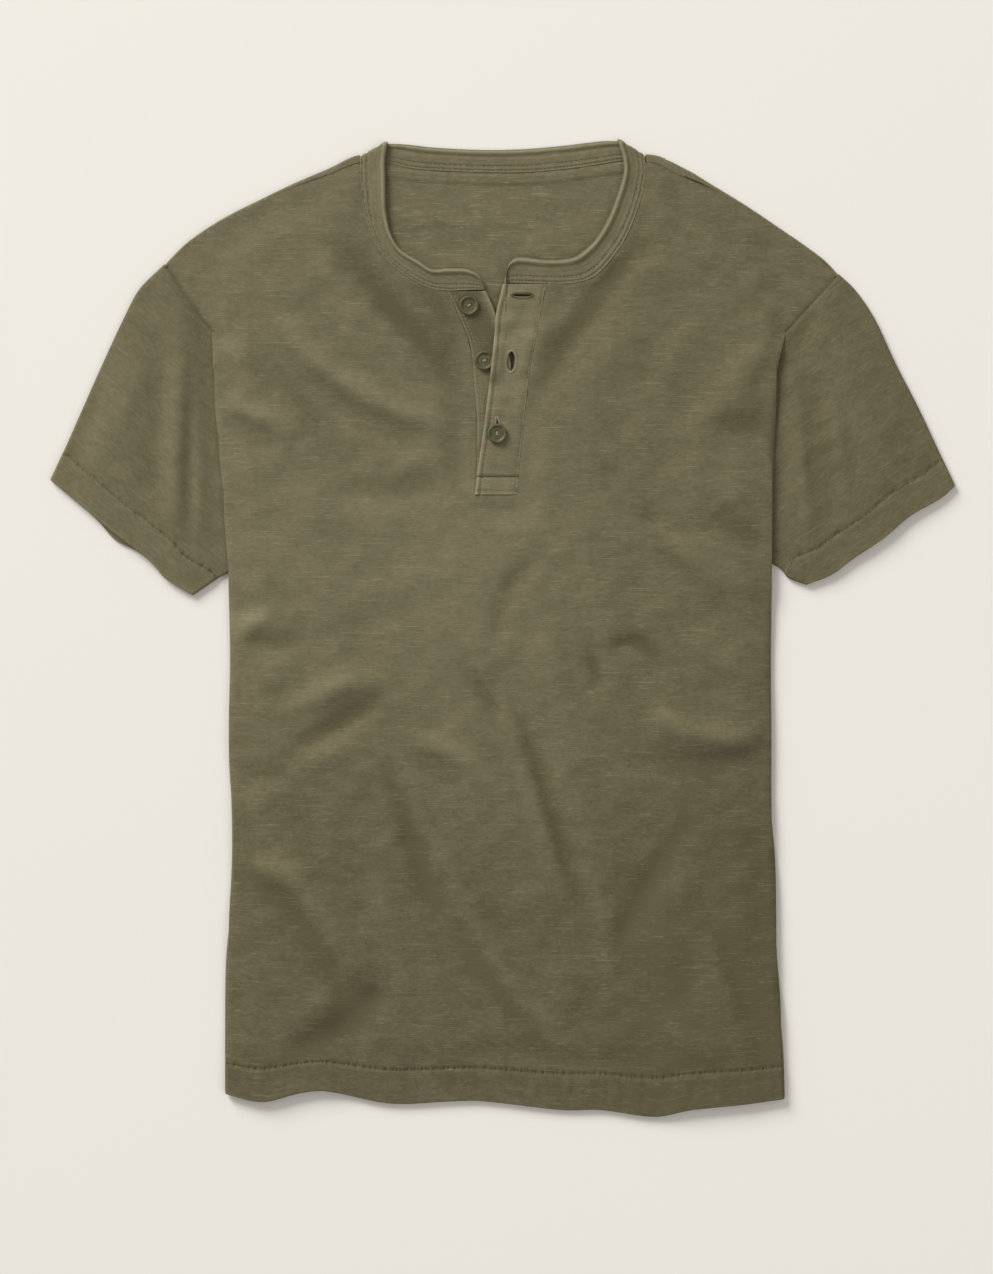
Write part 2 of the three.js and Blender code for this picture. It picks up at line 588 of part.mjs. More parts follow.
// The neckband is folded double: a wall between its sewn and free edges, with a rolled free edge.
// Its section runs from the sewn edge (0) to the free edge (1), rounded by SOFT at the corners.
const SOFT = 0.17;
function neckbandGeometry() {
  const radius = (PITCH + NECK_LIFT + BAND_THICKNESS) / 2;
  const near = radius - BAND_THICKNESS;
  const sections = BAND.map((s) => {
    const sewn = new THREE.Vector3(s.sewnX, s.sewnY, 0);
    const free = new THREE.Vector3(s.freeX, s.freeY, 0);
    const across = free.clone().sub(sewn).normalize();
    const away = new THREE.Vector3(-across.y, across.x, 0);
    if (away.y < 0) away.negate();
    const angle = Math.PI * s.turn;
    const place = (t, depth) => {
      const p = sewn.clone().lerp(free, t).addScaledVector(away, depth * Math.sin(angle));
      p.z = radius + depth * Math.cos(angle);
      return p;
    };
    const middle = (near + radius) / 2;
    return [
      place(0, near), place(0, radius - SOFT), place(0.06, radius),
      place(0.5, radius - SOFT), place(0.85, radius), place(0.96, radius - 2 * SOFT),
      place(1, middle), place(0.96, near + SOFT), place(0.85, near),
    ];
  });
  return sweep(sections);
}

// A closed solid from closed sections, with flat ends fanned from their first point
function sweep(sections) {
  const count = sections[0].length;
  const points = sections.flat();
  const faces = [];
  for (let i = 0; i < sections.length - 1; i += 1) {
    for (let j = 0; j < count; j += 1) {
      const a = i * count + j;
      const b = i * count + ((j + 1) % count);
      faces.push(a, b, b + count, a, b + count, a + count);
    }
  }
  const end = (sections.length - 1) * count;
  for (let j = 1; j < count - 1; j += 1) {
    faces.push(0, j + 1, j);
    faces.push(end, end + j, end + j + 1);
  }
  return facingOut(points, faces);
}

// Cutters for the neck and the placket slit
function offsetSewn(stations, gap) {
  return stations.map((s, i) => {
    const a = stations[Math.max(0, i - 1)];
    const b = stations[Math.min(stations.length - 1, i + 1)];
    const dx = b.sewnX - a.sewnX;
    const dy = b.sewnY - a.sewnY;
    const length = Math.hypot(dx, dy) || 1;
    let [nx, ny] = [dy / length, -dx / length];
    if (nx * (s.freeX - s.sewnX) + ny * (s.freeY - s.sewnY) > 0) [nx, ny] = [-nx, -ny];
    return { x: s.sewnX + gap * nx, y: s.sewnY + gap * ny };
  });
}

function frontCutter() {
  const half = BAND.findIndex((s) => s.turn === 1);
  const leftBand = BAND.slice(0, half).filter((s) => s.turn === 0 && s.sewnX <= -43);
  const rightBand = BAND.slice(half).filter((s) => s.turn === 0 && s.sewnX >= 31);
  const left = offsetSewn(leftBand, SEAM_GAP + 0.1).reverse();
  const right = offsetSewn(rightBand, SEAM_GAP + 0.1).reverse();
  const underLeft = through(UNDER_PLACKET, 'y', 'left');
  const upperRight = through(UPPER_PLACKET, 'y', 'right');
  const slitTop = UNDER_PLACKET[0].y;
  const slit = spread(PLACKET_STEPS).map((t) => lerp(slitTop, UNDER_PLACKET[5].y, t));
  const slitLeft = slit.map((y) => ({ x: underLeft(y) - SEAM_GAP - 0.05, y }));
  const slitRight = slit.map((y) => ({ x: upperRight(y) - SLOT_OVERLAP, y })).reverse();
  return prism([
    { x: left[0].x, y: 400 }, ...left,
    ...slitLeft, { x: slitLeft[slitLeft.length - 1].x, y: SLOT_END_Y },
    { x: slitRight[0].x, y: SLOT_END_Y }, ...slitRight,
    ...right, { x: right[right.length - 1].x, y: 400 },
  ]);
}

function backCutter() {
  const back = BAND.filter((s) => s.turn === 1);
  const line = offsetSewn(back, SEAM_GAP + 0.1);
  const first = line[0];
  const last = line[line.length - 1];
  return prism([
    { x: first.x - NECK_CLEAR, y: 400 }, { x: first.x - NECK_CLEAR, y: first.y }, ...line,
    { x: last.x + NECK_CLEAR, y: last.y }, { x: last.x + NECK_CLEAR, y: 400 },
  ]);
}

// The shoulder seam, on the front just below the rolled edge of the back panel
function shoulderSeam(gap) {
  return spread(40).map((t) => {
    const x = lerp(SHOULDER_LINE[0].x, SHOULDER_LINE[SHOULDER_LINE.length - 1].x, t);
    return { x, y: shoulderY(x) - (SHOULDER_RADIUS + shoulderRoll(x)) * shoulderSlant(x) - gap };
  });
}

// Everything above the shoulder seam, for the front panel
function aboveShoulderSeam() {
  const seam = shoulderSeam(SEAM_GAP * 1.2);
  return prism([...seam, { x: 300, y: 420 }, { x: -300, y: 420 }]);
}

// The upper layer below the shoulder seam, and all of it at the neck, for the back panel
function belowShoulderSeam() {
  const seam = shoulderSeam(0);
  const reach = 30;
  const band = seam.map((p) => ({ x: p.x, y: p.y - reach })).reverse();
  const low = 1.5 * CLOTH;
  const [left, right] = [-1, 1].map((side) => Math.max(
    ...BAND.map((s) => side * s.sewnX)) * side + side * NECK_CLEAR);
  const neck = [
    { x: left, y: 330 }, { x: right, y: 330 }, { x: right, y: 420 }, { x: left, y: 420 },
  ];
  return [prism([...seam, ...band], low), prism(neck, low)];
}

// All that lies outside an armhole seam
function outsideArmhole(side) {
  const shoulder = side < 0 ? SHOULDER_LEFT : SHOULDER_RIGHT;
  const pinch = { x: (side < 0 ? sideLeft : sideRight)(PINCH_Y), y: PINCH_Y };
  const run = { x: shoulder.x - pinch.x, y: shoulder.y - pinch.y };
  const past = { x: shoulder.x + 0.6 * run.x, y: shoulder.y + 0.6 * run.y };
  return prism([
    pinch, past, { x: past.x + side * 90, y: past.y }, { x: pinch.x + side * 90, y: pinch.y },
  ]);
}

// Front and back panels
const raiseHem = (row) => (row.w === 0 && row.y < HEM_LEVEL + BODY_HEM ? HEM_RAISE : 0);

function frontGeometry() {
  const panel = bodyPanel({
    across: FRONT_ACROSS,
    inset: () => 0,
    foldedAt: (y) => y <= TUCK_START_Y,
    low: tuckLevel,
    level: frontLevel,
    raise: raiseHem,
  });
  return cut(wall(panel.outer, panel.inner), [
    frontCutter(), aboveShoulderSeam(), outsideArmhole(-1), outsideArmhole(1),
  ]);
}

// How far the back panel's edge stays inside the front's fold: further where the front's
// strip starts, close beside the sleeves, and one layer inside where both are folded
const BACK_INSET = { start: 9, wide: 13, wideEndY: 192, wideFade: 30, beside: 2.4 };
function backInset(row) {
  if (row.w > 0) return 0;
  const start = smooth((PINCH_Y - row.y) / BACK_INSET.start);
  const past = smooth((BACK_INSET.wideEndY - row.y) / BACK_INSET.wideFade);
  const edge = row.y > BACK_TUCK_START_Y ? BACK_INSET.beside : PITCH;
  return start * (BACK_INSET.wide * (1 - past) + edge);
}

function backGeometry() {
  const panel = bodyPanel({
    across: BACK_ACROSS,
    inset: backInset,
    foldedAt: (y) => y <= BACK_TUCK_START_Y,
    low: (y) => tuckLevel(y) + PITCH,
    level: backLevel,
    raise: () => 0,
  });
  // The last row is carried round the shoulder fold and a little way down the front
  const top = panel.inner[panel.inner.length - 1].map((p) => p.clone());
  const roll = (angle, back) => {
    const ring = (r) => top.map((p) => {
      const away = new THREE.Vector2(-shoulderSlope(p.x), 1).normalize();
      const out = r * Math.sin(angle) - back;
      const z = SHOULDER_RADIUS - r * Math.cos(angle);
      return new THREE.Vector3(p.x + away.x * out, p.y + away.y * out, z);
    });
    panel.outer.push(ring(SHOULDER_RADIUS - CLOTH));
    panel.inner.push(ring(SHOULDER_RADIUS));
  };
  for (const t of [0.25, 0.5, 0.75, 1]) roll(Math.PI * t, 0);
  roll(Math.PI, ROLL_DRAWN);
  return cut(wall(panel.outer, panel.inner), [
    backCutter(), ...belowShoulderSeam(), outsideArmhole(-1), outsideArmhole(1),
  ]);
}

// A sleeve: rings round the arm from the armhole to the cuff, flattened as it lies
const RING_STEPS = 3;
const EDGE_SHARE = 0.06;
const RING_ROWS = [0, 0.1, 0.22, 0.35, 0.48, 0.62, 0.76];
const HEM_STEP = 0.005;
function curveAt(points, t) {
  const curve = new THREE.CatmullRomCurve3(points.map((p) => new THREE.Vector3(p.x, p.y, 0)));
  return curve.getPoint(clamp01(t));
}

// The armhole seam down to the pinch, then a stretch beside the body, then the hidden stretch
const PINCH_AT = 0.27;
const ABUT_AT = 0.37;
const ROOT_GAP = 1.5 * SEAM_GAP;
const RING_COLUMNS = [0, 0.07, 0.16, PINCH_AT, 0.32, ABUT_AT, 0.46, 0.56, 0.67, 0.78, 0.9, 1];
function sleeveRoot(sleeve, v) {
  const side = sleeve.side < 0 ? sideLeft : sideRight;
  const gap = sleeve.side * ROOT_GAP;
  if (v <= PINCH_AT) {
    const t = v / PINCH_AT;
    const x = lerp(sleeve.shoulder.x, side(PINCH_Y), t) + gap;
    return new THREE.Vector3(x, lerp(sleeve.shoulder.y, PINCH_Y, t), 0);
  }
  if (v <= ABUT_AT) {
    const y = lerp(PINCH_Y, ABUT_END_Y, (v - PINCH_AT) / (ABUT_AT - PINCH_AT));
    return new THREE.Vector3(side(y) + gap, y, 0);
  }
  const start = { x: side(ABUT_END_Y) + gap, y: ABUT_END_Y };
  const end = sleeve.lower[sleeve.lower.length - 1];
  return curveAt([start, ...sleeve.hidden, end], (v - ABUT_AT) / (1 - ABUT_AT));
}

function lastOf(points) {
  const p = points[points.length - 1];
  return new THREE.Vector3(p.x, p.y, 0);
}

function sleevePoint(sleeve, u, v) {
  const corner = lastOf(sleeve.edge);
  const tip = lastOf(sleeve.cuff);
  const under = lastOf(sleeve.lower);
  const start = sleeveRoot(sleeve, 0);
  const root = sleeveRoot(sleeve, v);
  const cuff = curveAt([corner, ...sleeve.cuff], v);
  const upper = curveAt([start, ...sleeve.edge], u);
  const lower = curveAt([under, ...[...sleeve.lower].reverse().slice(1), tip], u);
  const p = new THREE.Vector3();
  p.addScaledVector(root, 1 - u).addScaledVector(cuff, u);
  p.addScaledVector(upper, 1 - v).addScaledVector(lower, v);
  p.addScaledVector(start, -(1 - u) * (1 - v)).addScaledVector(corner, -u * (1 - v));
  p.addScaledVector(under, -(1 - u) * v).addScaledVector(tip, -u * v);
  return p;
}

// Level of the underside of the sleeve's upper layer: lower where it runs under the body,
// fuller in the middle, and raised along one long soft fold
const SLEEVE_FULLNESS = 0.8;
const SLEEVE_FADE = { pinch: 20, start: 2, width: 14, fullStart: 6, fullWidth: 25 };
function sleeveLevel(sleeve, x, y, u, v) {
  const side = sleeve.side < 0 ? sideLeft : sideRight;
  const outside = sleeve.side * (x - side(Math.min(y, PINCH_Y)));
  const below = smooth((PINCH_Y - y) / SLEEVE_FADE.pinch);
  const clear = smooth((outside - SLEEVE_FADE.start) / SLEEVE_FADE.width);
  const lift = NECK_LIFT * (1 - below * (1 - clear));
  const full = smooth((outside - SLEEVE_FADE.fullStart) / SLEEVE_FADE.fullWidth);
  const { along, away } = distanceTo(x, y, sleeve.fold);
  const ridge = sleeve.fold.height * Math.exp(-((away / sleeve.fold.half) ** 2));
  const middle = Math.sin(Math.PI * v) ** 2 * lerp(1, 0.5, u);
  return PITCH + lift + full * middle * (SLEEVE_FULLNESS + ridge * Math.sin(Math.PI * along));
}

function sleeveGeometry(sleeve) {
  const outer = [];
  const inner = [];
  const length = sleevePoint(sleeve, 0, 0).distanceTo(sleevePoint(sleeve, 1, 0));
  const hemAt = 1 - CUFF_HEM / length;
  for (const u of [...RING_ROWS, hemAt - HEM_STEP, hemAt + HEM_STEP, 1]) {
    const raise = u > hemAt ? HEM_RAISE : 0;
    const first = sleevePoint(sleeve, u, 0);
    const last = sleevePoint(sleeve, u, 1);
    const up = first.clone().sub(sleevePoint(sleeve, u, EDGE_SHARE)).normalize();
    const down = last.clone().sub(sleevePoint(sleeve, u, 1 - EDGE_SHARE)).normalize();
    const edgeHigh = (p, v) => sleeveLevel(sleeve, p.x, p.y, u, v) + CLOTH;
    const [highA, highB] = [edgeHigh(first, 0), edgeHigh(last, 1)];
    const span = first.distanceTo(last);
    const ringOuter = [];
    const ringInner = [];
    const place = (p, z, list) => list.push(new THREE.Vector3(p.x, p.y, z));
    const squeezed = (v) => {
      const shift = (1 - v) * (highA / 2 / span) - v * (highB / 2 / span);
      return sleevePoint(sleeve, u, v + shift);
    };
    for (const v of RING_COLUMNS) {
      const p = squeezed(v);
      const z = sleeveLevel(sleeve, p.x, p.y, u, v);
      place(p, z + CLOTH + raise, ringOuter);
      place(p, z, ringInner);
    }
    const turn = (p, direction, high, from) => {
      for (let i = 1; i < RING_STEPS; i += 1) {
        const angle = Math.PI * (i / RING_STEPS);
        const up = from > 0 ? Math.cos(angle) : -Math.cos(angle);
        for (const [r, list] of [[high / 2, ringOuter], [high / 2 - CLOTH, ringInner]]) {
          const q = p.clone().addScaledVector(direction, r * Math.sin(angle));
          place(q, high / 2 + r * up, list);
        }
      }
    };
    turn(squeezed(1), down, highB + raise, 1);
    for (const v of [...RING_COLUMNS].reverse()) {
      const p = squeezed(v);
      place(p, 0, ringOuter);
      place(p, CLOTH, ringInner);
    }
    turn(squeezed(0), up, highA + raise, -1);
    outer.push(ringOuter);
    inner.push(ringInner);
  }
  return wall(outer, inner, true);
}

// Plackets: flat strips between their edges
function stripGeometry(rows, count, columns, level, thickness) {
  const left = through(rows, 'y', 'left');
  const right = through(rows, 'y', 'right');
  const [high, low] = [rows[0].y, rows[rows.length - 1].y];
  const outer = [];
  const inner = [];
  for (const t of spread(count)) {
    const y = lerp(high, low, t);
    const across = spread(columns).map((u) => {
      const x = lerp(left(y), right(y), u);
      return new THREE.Vector3(x, y, level(x, y));
    });
    inner.push(across);
    outer.push(across.map((p) => new THREE.Vector3(p.x, p.y, p.z + thickness)));
  }
  return wall(outer, inner);
}

function upperPlacketLevel(x, y) {
  const button = BUTTONS[1];
  const away = Math.hypot(x - button.x, y - button.y);
  const over = 1 - smooth((away - BUTTON_RADIUS - 1) / BUTTON_BUMP_REACH);
  return UPPER_PLACKET_Z + BUTTON_BUMP * over;
}

function buttonholeCutter(hole) {
  const points = [];
  const steps = 12;
  for (let i = 0; i < steps; i += 1) {
    const angle = (2 * Math.PI * i) / steps;
    const along = (hole.length / 2) * Math.cos(angle);
    const across = (hole.width / 2) * Math.sin(angle);
    const turn = THREE.MathUtils.degToRad(hole.turn);
    points.push({
      x: hole.x + along * Math.cos(turn) - across * Math.sin(turn),
      y: hole.y + along * Math.sin(turn) + across * Math.cos(turn),
    });
  }
  return prism(points);
}

// A button: raised rim, dished middle and two holes
function buttonGeometry(button) {
  const r = BUTTON_RADIUS;
  const t = BUTTON_THICKNESS;
  const profile = [
    [0, 0], [r * 0.7, 0], [r * 0.94, t * 0.25], [r, t * 0.55], [r * 0.95, t * 0.9],
    [r * 0.85, t], [r * 0.72, t * 0.9], [r * 0.6, t * 0.68], [0, t * 0.62],
  ].map(([x, y]) => new THREE.Vector2(x, y));
  const disc = new THREE.LatheGeometry(profile, 18).rotateX(Math.PI / 2);
  const holes = [-1, 1].map((side) => new THREE.CylinderGeometry(
    BUTTON_HOLE_RADIUS, BUTTON_HOLE_RADIUS, 12, 8).rotateX(Math.PI / 2)
    .translate((side * BUTTON_HOLE_SPACING) / 2, 0, 0));
  const seat = button.on === 'upper'
    ? UPPER_PLACKET_Z + PLACKET_THICKNESS
    : UNDER_PLACKET_Z + PLACKET_THICKNESS;
  return { geometry: cut(disc, holes), z: seat + SEAM_GAP };
}

// The parts of the shirt
const shirt = new THREE.Group();

function addPiece(name, geometry, finish) {
  const mesh = new THREE.Mesh(geometry, new THREE.MeshStandardMaterial(finish));
  mesh.name = name;
  shirt.add(mesh);
  return mesh;
}

addPiece('front_panel', frontGeometry(), JERSEY);
addPiece('back_panel', backGeometry(), JERSEY);
addPiece('sleeve_left', sleeveGeometry(LEFT_SLEEVE), JERSEY_LIGHT);
addPiece('sleeve_right', sleeveGeometry(RIGHT_SLEEVE), JERSEY);
addPiece('neckband', neckbandGeometry(), JERSEY_LIGHT);
addPiece('under_placket', stripGeometry(
  UNDER_PLACKET, PLACKET_STEPS, 3, () => UNDER_PLACKET_Z, PLACKET_THICKNESS), JERSEY);
addPiece('upper_placket', cut(stripGeometry(
  UPPER_PLACKET, 18, 5, upperPlacketLevel, PLACKET_THICKNESS),
BUTTONHOLES.map(buttonholeCutter)), JERSEY_LIGHT);
for (const button of BUTTONS) {
  const { geometry, z } = buttonGeometry(button);
  addPiece(button.name, geometry, BUTTON_PLASTIC).position.set(button.x, button.y, z);
}

export default shirt;
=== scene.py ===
# %% [markdown]
# # A henley shirt laid flat
# This lesson dresses a short-sleeved henley shirt in slub jersey, as it lies on its back on a
# table. A frame of plain solids already says where each piece is. Every cell below takes one
# piece or one finish of the shirt, says what it is on the real garment, and models it on top of
# its solid: the cloth as thin shells with their creases, the neckband, the plackets, the
# buttons, and the thread that holds them.

# %% Load the frame
import json
import math

import bmesh
import bpy
import numpy as np
from mathutils import Matrix, Vector

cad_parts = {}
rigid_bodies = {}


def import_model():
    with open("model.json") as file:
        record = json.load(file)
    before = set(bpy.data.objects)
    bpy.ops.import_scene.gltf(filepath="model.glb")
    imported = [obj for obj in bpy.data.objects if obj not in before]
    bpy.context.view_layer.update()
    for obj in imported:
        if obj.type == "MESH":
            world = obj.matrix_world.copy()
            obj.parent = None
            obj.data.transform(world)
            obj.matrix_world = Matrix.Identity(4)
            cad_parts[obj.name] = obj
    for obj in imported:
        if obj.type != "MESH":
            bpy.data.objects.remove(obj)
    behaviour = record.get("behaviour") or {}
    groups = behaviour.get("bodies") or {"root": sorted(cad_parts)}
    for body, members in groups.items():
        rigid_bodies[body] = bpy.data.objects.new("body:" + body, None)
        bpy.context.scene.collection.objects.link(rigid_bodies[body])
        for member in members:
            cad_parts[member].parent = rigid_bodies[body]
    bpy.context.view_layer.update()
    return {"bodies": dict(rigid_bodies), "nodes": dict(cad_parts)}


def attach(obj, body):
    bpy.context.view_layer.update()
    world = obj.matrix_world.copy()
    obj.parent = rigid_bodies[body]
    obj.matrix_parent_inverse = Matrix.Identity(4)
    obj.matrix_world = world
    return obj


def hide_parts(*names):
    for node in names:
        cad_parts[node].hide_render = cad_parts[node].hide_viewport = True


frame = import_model()
BODY = sorted(frame["bodies"])[0]
print("body", BODY, "nodes", len(frame["nodes"]))

# %% [markdown]
# ## Sizes
# A garment is drawn in millimetres, and Blender works in metres, so all tables here are in
# millimetres and one factor turns them into metres when a mesh is written. +X is to the
# wearer's left as the shirt lies, +Y runs from hem to neck, and +Z is up.

# %% Shared sizes
MM = 0.001
CLOTH = 1.1
SEAM_GAP = 0.3
PITCH = CLOTH + SEAM_GAP
HALF = CLOTH / 2
NECK_LIFT = 1.0
FLOAT = 4.2
PINCH_Y = 226.5
TUCK_START_Y = 200
BACK_TUCK_START_Y = 2
SLEEVE_END_Y = 38
BELOW_SLEEVE_Y = 13
HEM_LEVEL = -362
HEM_BLEND = 60
BODY_HEM = 25
CUFF_HEM = 22.5


def table(names, rows):
    """The columns of a table by name."""
    return dict(zip(names.split(), np.array(rows, float).T))


SIDES = table("y left right tuck", [
    (-375, -211.6, 215.6, 53), (-315, -211.5, 213.8, 53), (-254, -210.8, 210.0, 53),
    (-193, -207.0, 208.5, 53), (-132, -206.9, 205.4, 53), (-86, -209.2, 205.4, 53),
    (-25, -207.7, 204.6, 53), (40, -209.6, 206.2, 52), (111, -214.0, 206.9, 43),
    (159, -218.4, 208.1, 31), (200, -221.0, 210.6, 8), (226.5, -222.2, 216.9, 2),
])
SHOULDERS = table("x y roll", [
    (-277.3, 258.2, 0.2), (-258.2, 277.3, 0.2), (-243.7, 292.0, 0.2), (-227.6, 304.1, 0.2),
    (-208.5, 315.6, 0.2), (-185.5, 327.0, 0.3), (-161.8, 338.5, 1.0), (-135.0, 350.0, 2.6),
    (-106.7, 361.5, 4.4), (112.8, 361.5, 4.0), (141.1, 350.0, 4.4), (160.3, 338.5, 1.2),
    (179.4, 327.0, 0.3), (197.0, 315.6, 0.2), (213.8, 304.1, 0.2), (230.6, 292.6, 0.2),
    (246.7, 280.4, 0.2), (256.7, 269.7, 0.2), (269.7, 257.0, 0.2),
])
HEM = table("x y", [
    (-212, -356.1), (-184, -362.2), (-155, -355.6), (-136, -353.9), (-86, -363.6),
    (-40, -362.0), (-17, -361.7), (46, -368.6), (75, -368.6), (117, -373.7), (143, -368.6),
    (182, -364.5), (216, -359.9),
])
SHOULDER_LEFT = (-258.2, 277.3)
SHOULDER_RIGHT = (256.7, 269.7)
SHOULDER_RADIUS = (PITCH + NECK_LIFT + CLOTH) / 2

# %% [markdown]
# ## Curves through a few measured rows
# A pattern cutter marks a few points and joins them with a smooth line. The same is done here:
# each table has only the rows that its line needs, and a cubic Hermite curve runs through them.
# All helpers work on whole arrays, because a cloth of forty thousand points is slow to walk
# through one point at a time.

# %% Curve helpers
def smooth(t):
    """A soft step from 0 to 1."""
    t = np.clip(t, 0, 1)
    return t * t * (3 - 2 * t)


def lerp(a, b, t):
    return a + (b - a) * t


def bell(t, middle, width):
    """A soft bump of height 1."""
    return np.exp(-(((t - middle) / width) ** 2))


def through(columns, key, value):
    """A smooth curve through the rows of a table, as a function of one of its columns."""
    order = np.argsort(columns[key])
    k = columns[key][order]
    v = columns[value][order]
    last = len(k) - 1
    before = np.maximum(np.arange(last + 1) - 1, 0)
    after = np.minimum(np.arange(last + 1) + 1, last)
    slope = (v[after] - v[before]) / (k[after] - k[before])

    def curve(at):
        t = np.clip(at, k[0], k[-1])
        i = np.clip(np.searchsorted(k, t) - 1, 0, last - 1)
        h = k[i + 1] - k[i]
        s = (t - k[i]) / h
        low = (1 + 2 * s) * (1 - s) ** 2 * v[i] + s * (1 - s) ** 2 * h * slope[i]
        return low + s * s * (3 - 2 * s) * v[i + 1] + s * s * (s - 1) * h * slope[i + 1]

    return curve


def path_through(points):
    """A smooth curve through points, from 0 at the first to 1 at the last."""
    points = np.array(points, float)
    steps = {"t": np.linspace(0, 1, len(points)), "x": points[:, 0], "y": points[:, 1]}
    x, y = through(steps, "t", "x"), through(steps, "t", "y")
    return lambda t: np.stack([x(t), y(t)], axis=-1)


def distance_to(x, y, line):
    """How far points lie from a line of points, and how far along it, from 0 to 1."""
    line = np.array(line, float)
    away = np.full(np.shape(x), 1e9)
    along = np.zeros(np.shape(x))
    count = len(line) - 1
    for i in range(count):
        dx, dy = line[i + 1] - line[i]
        px, py = x - line[i][0], y - line[i][1]
        t = np.clip((px * dx + py * dy) / max(dx * dx + dy * dy, 1e-9), 0, 1)
        d = np.hypot(px - t * dx, py - t * dy)
        closer = d < away
        away = np.where(closer, d, away)
        along = np.where(closer, (i + t) / count, along)
    return away, along


side_left = through(SIDES, "y", "left")
side_right = through(SIDES, "y", "right")
tuck_width = through(SIDES, "y", "tuck")
shoulder_y = through(SHOULDERS, "x", "y")
shoulder_roll = through(SHOULDERS, "x", "roll")
hem_y = through(HEM, "x", "y")


def shoulder_slope(x):
    return (shoulder_y(x + 2) - shoulder_y(x - 2)) / 4


def shoulder_slant(x):
    return np.hypot(1, shoulder_slope(x))


# %% [markdown]
# ## Levels
# Laid flat, a shirt is a stack of layers: the back on the table, the front on the back, the
# sides folded under, and the sleeves running under the body at the armholes. These functions
# give the level of each layer's underside. The front is not pressed to the back but floats a
# few millimetres above it, which is what lets it crease.

# %% Levels of the layers
def back_level(x, y):
    """Underside of the back panel: flat on the table, higher over what is tucked under it."""
    rise = smooth((PINCH_Y - y) / (PINCH_Y - 203))
    fall = smooth((SLEEVE_END_Y - y) / (SLEEVE_END_Y - BELOW_SLEEVE_Y))
    inside = np.minimum(x - side_left(y), side_right(y) - x)
    ramp = 1 - smooth((inside - tuck_width(y) - 16) / 35)
    return lerp(3 * PITCH, 2 * PITCH, fall) * rise * ramp


def tuck_level(y):
    """Underside of the strip of the front that is folded under."""
    return 2 * PITCH * smooth((y - BELOW_SLEEVE_Y) / (SLEEVE_END_Y - BELOW_SLEEVE_Y))
